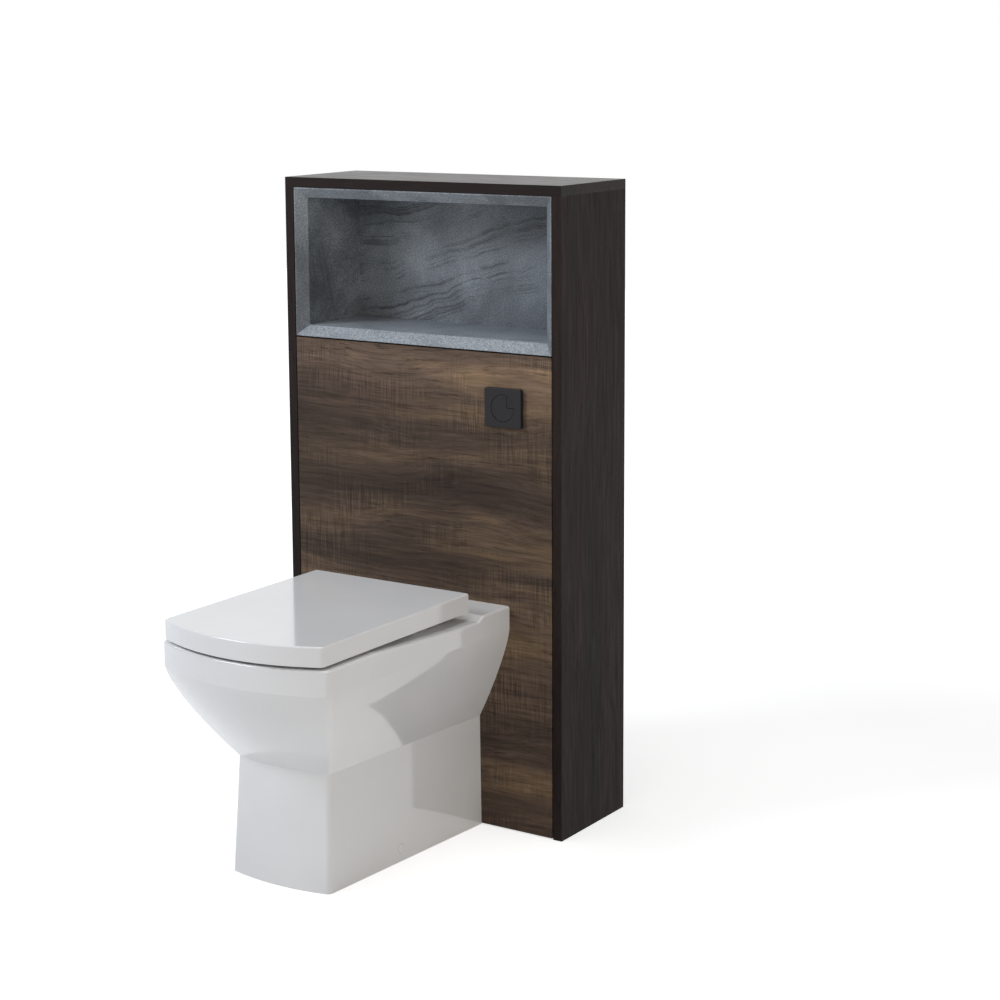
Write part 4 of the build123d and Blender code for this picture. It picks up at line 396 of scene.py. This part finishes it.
def make_floor():
    """A pale floor that stays white in the picture outside the soft shadow.

    Its glow rises from FLOOR_GLOW at 1.2 m from the middle to full white at 3 m.
    """
    mesh = bpy.data.meshes.new("floor")
    far = FLOOR_HALF_WIDTH
    corners = [(-far, -far, 0), (far, -far, 0), (far, far, 0), (-far, far, 0)]
    mesh.from_pydata(corners, [], [(0, 1, 2, 3)])
    floor = bpy.data.objects.new("floor", mesh)
    bpy.context.scene.collection.objects.link(floor)
    material, tree, place = new_material("pale_floor")
    cloud = noise(tree, place, scale=1.5, detail=2.0)
    tone = ramp(tree, cloud, [(0.3, 0.83), (0.7, 0.85)])
    diffuse = put(tree, "ShaderNodeBsdfDiffuse", {"Color": tone})
    away = put(tree, "ShaderNodeVectorMath", {0: place}, operation="LENGTH").outputs["Value"]
    level = ramp(tree, maths(tree, "MULTIPLY", away, 0.2), [(0.24, FLOOR_GLOW), (0.6, 1.0)], "EASE")
    glow = put(tree, "ShaderNodeEmission", {"Color": (1, 1, 1, 1), "Strength": level})
    both = put(tree, "ShaderNodeAddShader", {0: diffuse.outputs[0], 1: glow.outputs[0]})
    rays = put(tree, "ShaderNodeLightPath").outputs
    seen = maths(tree, "ADD", rays["Is Camera Ray"], rays["Is Glossy Ray"])
    seen = maths(tree, "ADD", seen, rays["Is Transmission Ray"], clamp=True)
    inputs = {0: seen, 1: diffuse.outputs[0], 2: both.outputs[0]}
    mixed = put(tree, "ShaderNodeMixShader", inputs)
    put(tree, "ShaderNodeOutputMaterial", {"Surface": mixed.outputs[0]})
    mesh.materials.append(material)


def make_world(strength):
    """White where the camera, gloss and glass see it, and a level light elsewhere."""
    world = bpy.data.worlds.new("studio")
    bpy.context.scene.world = world
    world.use_nodes = True
    tree = world.node_tree
    tree.nodes.clear()
    rays = put(tree, "ShaderNodeLightPath").outputs
    seen = maths(tree, "ADD", rays["Is Camera Ray"], rays["Is Glossy Ray"])
    seen = maths(tree, "ADD", seen, rays["Is Transmission Ray"], clamp=True)
    level = maths(tree, "ADD", maths(tree, "MULTIPLY", seen, 1.0 - strength), strength)
    glow = put(tree, "ShaderNodeBackground", {"Color": (1, 1, 1, 1), "Strength": level})
    put(tree, "ShaderNodeOutputWorld", {"Surface": glow.outputs[0]})


def soft_light(name, place, target, size, power, colour=(1, 1, 1)):
    """A square area light aimed at a point."""
    data = bpy.data.lights.new(name, "AREA")
    data.shape = "SQUARE"
    data.size = size
    data.energy = power
    data.color = colour
    light = bpy.data.objects.new(name, data)
    bpy.context.scene.collection.objects.link(light)
    light.location = place
    aim = Vector(target) - Vector(place)
    light.rotation_euler = aim.to_track_quat("-Z", "Y").to_euler()


CAMERA_PLACE = Vector((2.2918, -3.0854, 1.4154))
CAMERA_AZIMUTH = math.radians(34.623)
CAMERA_ELEVATION = math.radians(9.142)
CAMERA_ROLL = math.radians(-0.556)
CAMERA_LENS = 80.25
CAMERA_SHIFT = (0.06, -0.10)
SENSOR_WIDTH = 36.0


def make_camera():
    """The camera at the photograph's place, with a small shift for its framing."""
    data = bpy.data.cameras.new("camera")
    data.sensor_width = SENSOR_WIDTH
    data.lens = CAMERA_LENS
    data.shift_x, data.shift_y = CAMERA_SHIFT
    camera = bpy.data.objects.new("camera", data)
    bpy.context.scene.collection.objects.link(camera)
    level = math.cos(CAMERA_ELEVATION)
    sideways = math.sin(CAMERA_AZIMUTH) * level
    forwards = math.cos(CAMERA_AZIMUTH) * level
    back = Vector((sideways, -forwards, math.sin(CAMERA_ELEVATION)))
    right = (-back).cross(Vector((0, 0, 1))).normalized()
    up = right.cross(-back)
    turn = (math.cos(CAMERA_ROLL), math.sin(CAMERA_ROLL))
    rolled_right = turn[0] * right + turn[1] * up
    rolled_up = turn[0] * up - turn[1] * right
    axes = Matrix((rolled_right, rolled_up, back)).transposed()
    camera.matrix_world = Matrix.Translation(CAMERA_PLACE) @ axes.to_4x4()
    bpy.context.scene.camera = camera


make_floor()
make_world(WORLD_LEVEL)
soft_light("key", KEY_PLACE, LIGHT_TARGET, 1.3, KEY_POWER, (0.93, 0.98, 1.06))
soft_light("fill", FILL_PLACE, LIGHT_TARGET, 1.8, FILL_POWER, (1.1, 0.99, 0.87))
soft_light("top", TOP_PLACE, LIGHT_TARGET, 1.6, TOP_POWER, (0.96, 0.99, 1.03))
make_camera()

view = bpy.context.scene.view_settings
view.view_transform = "Standard"
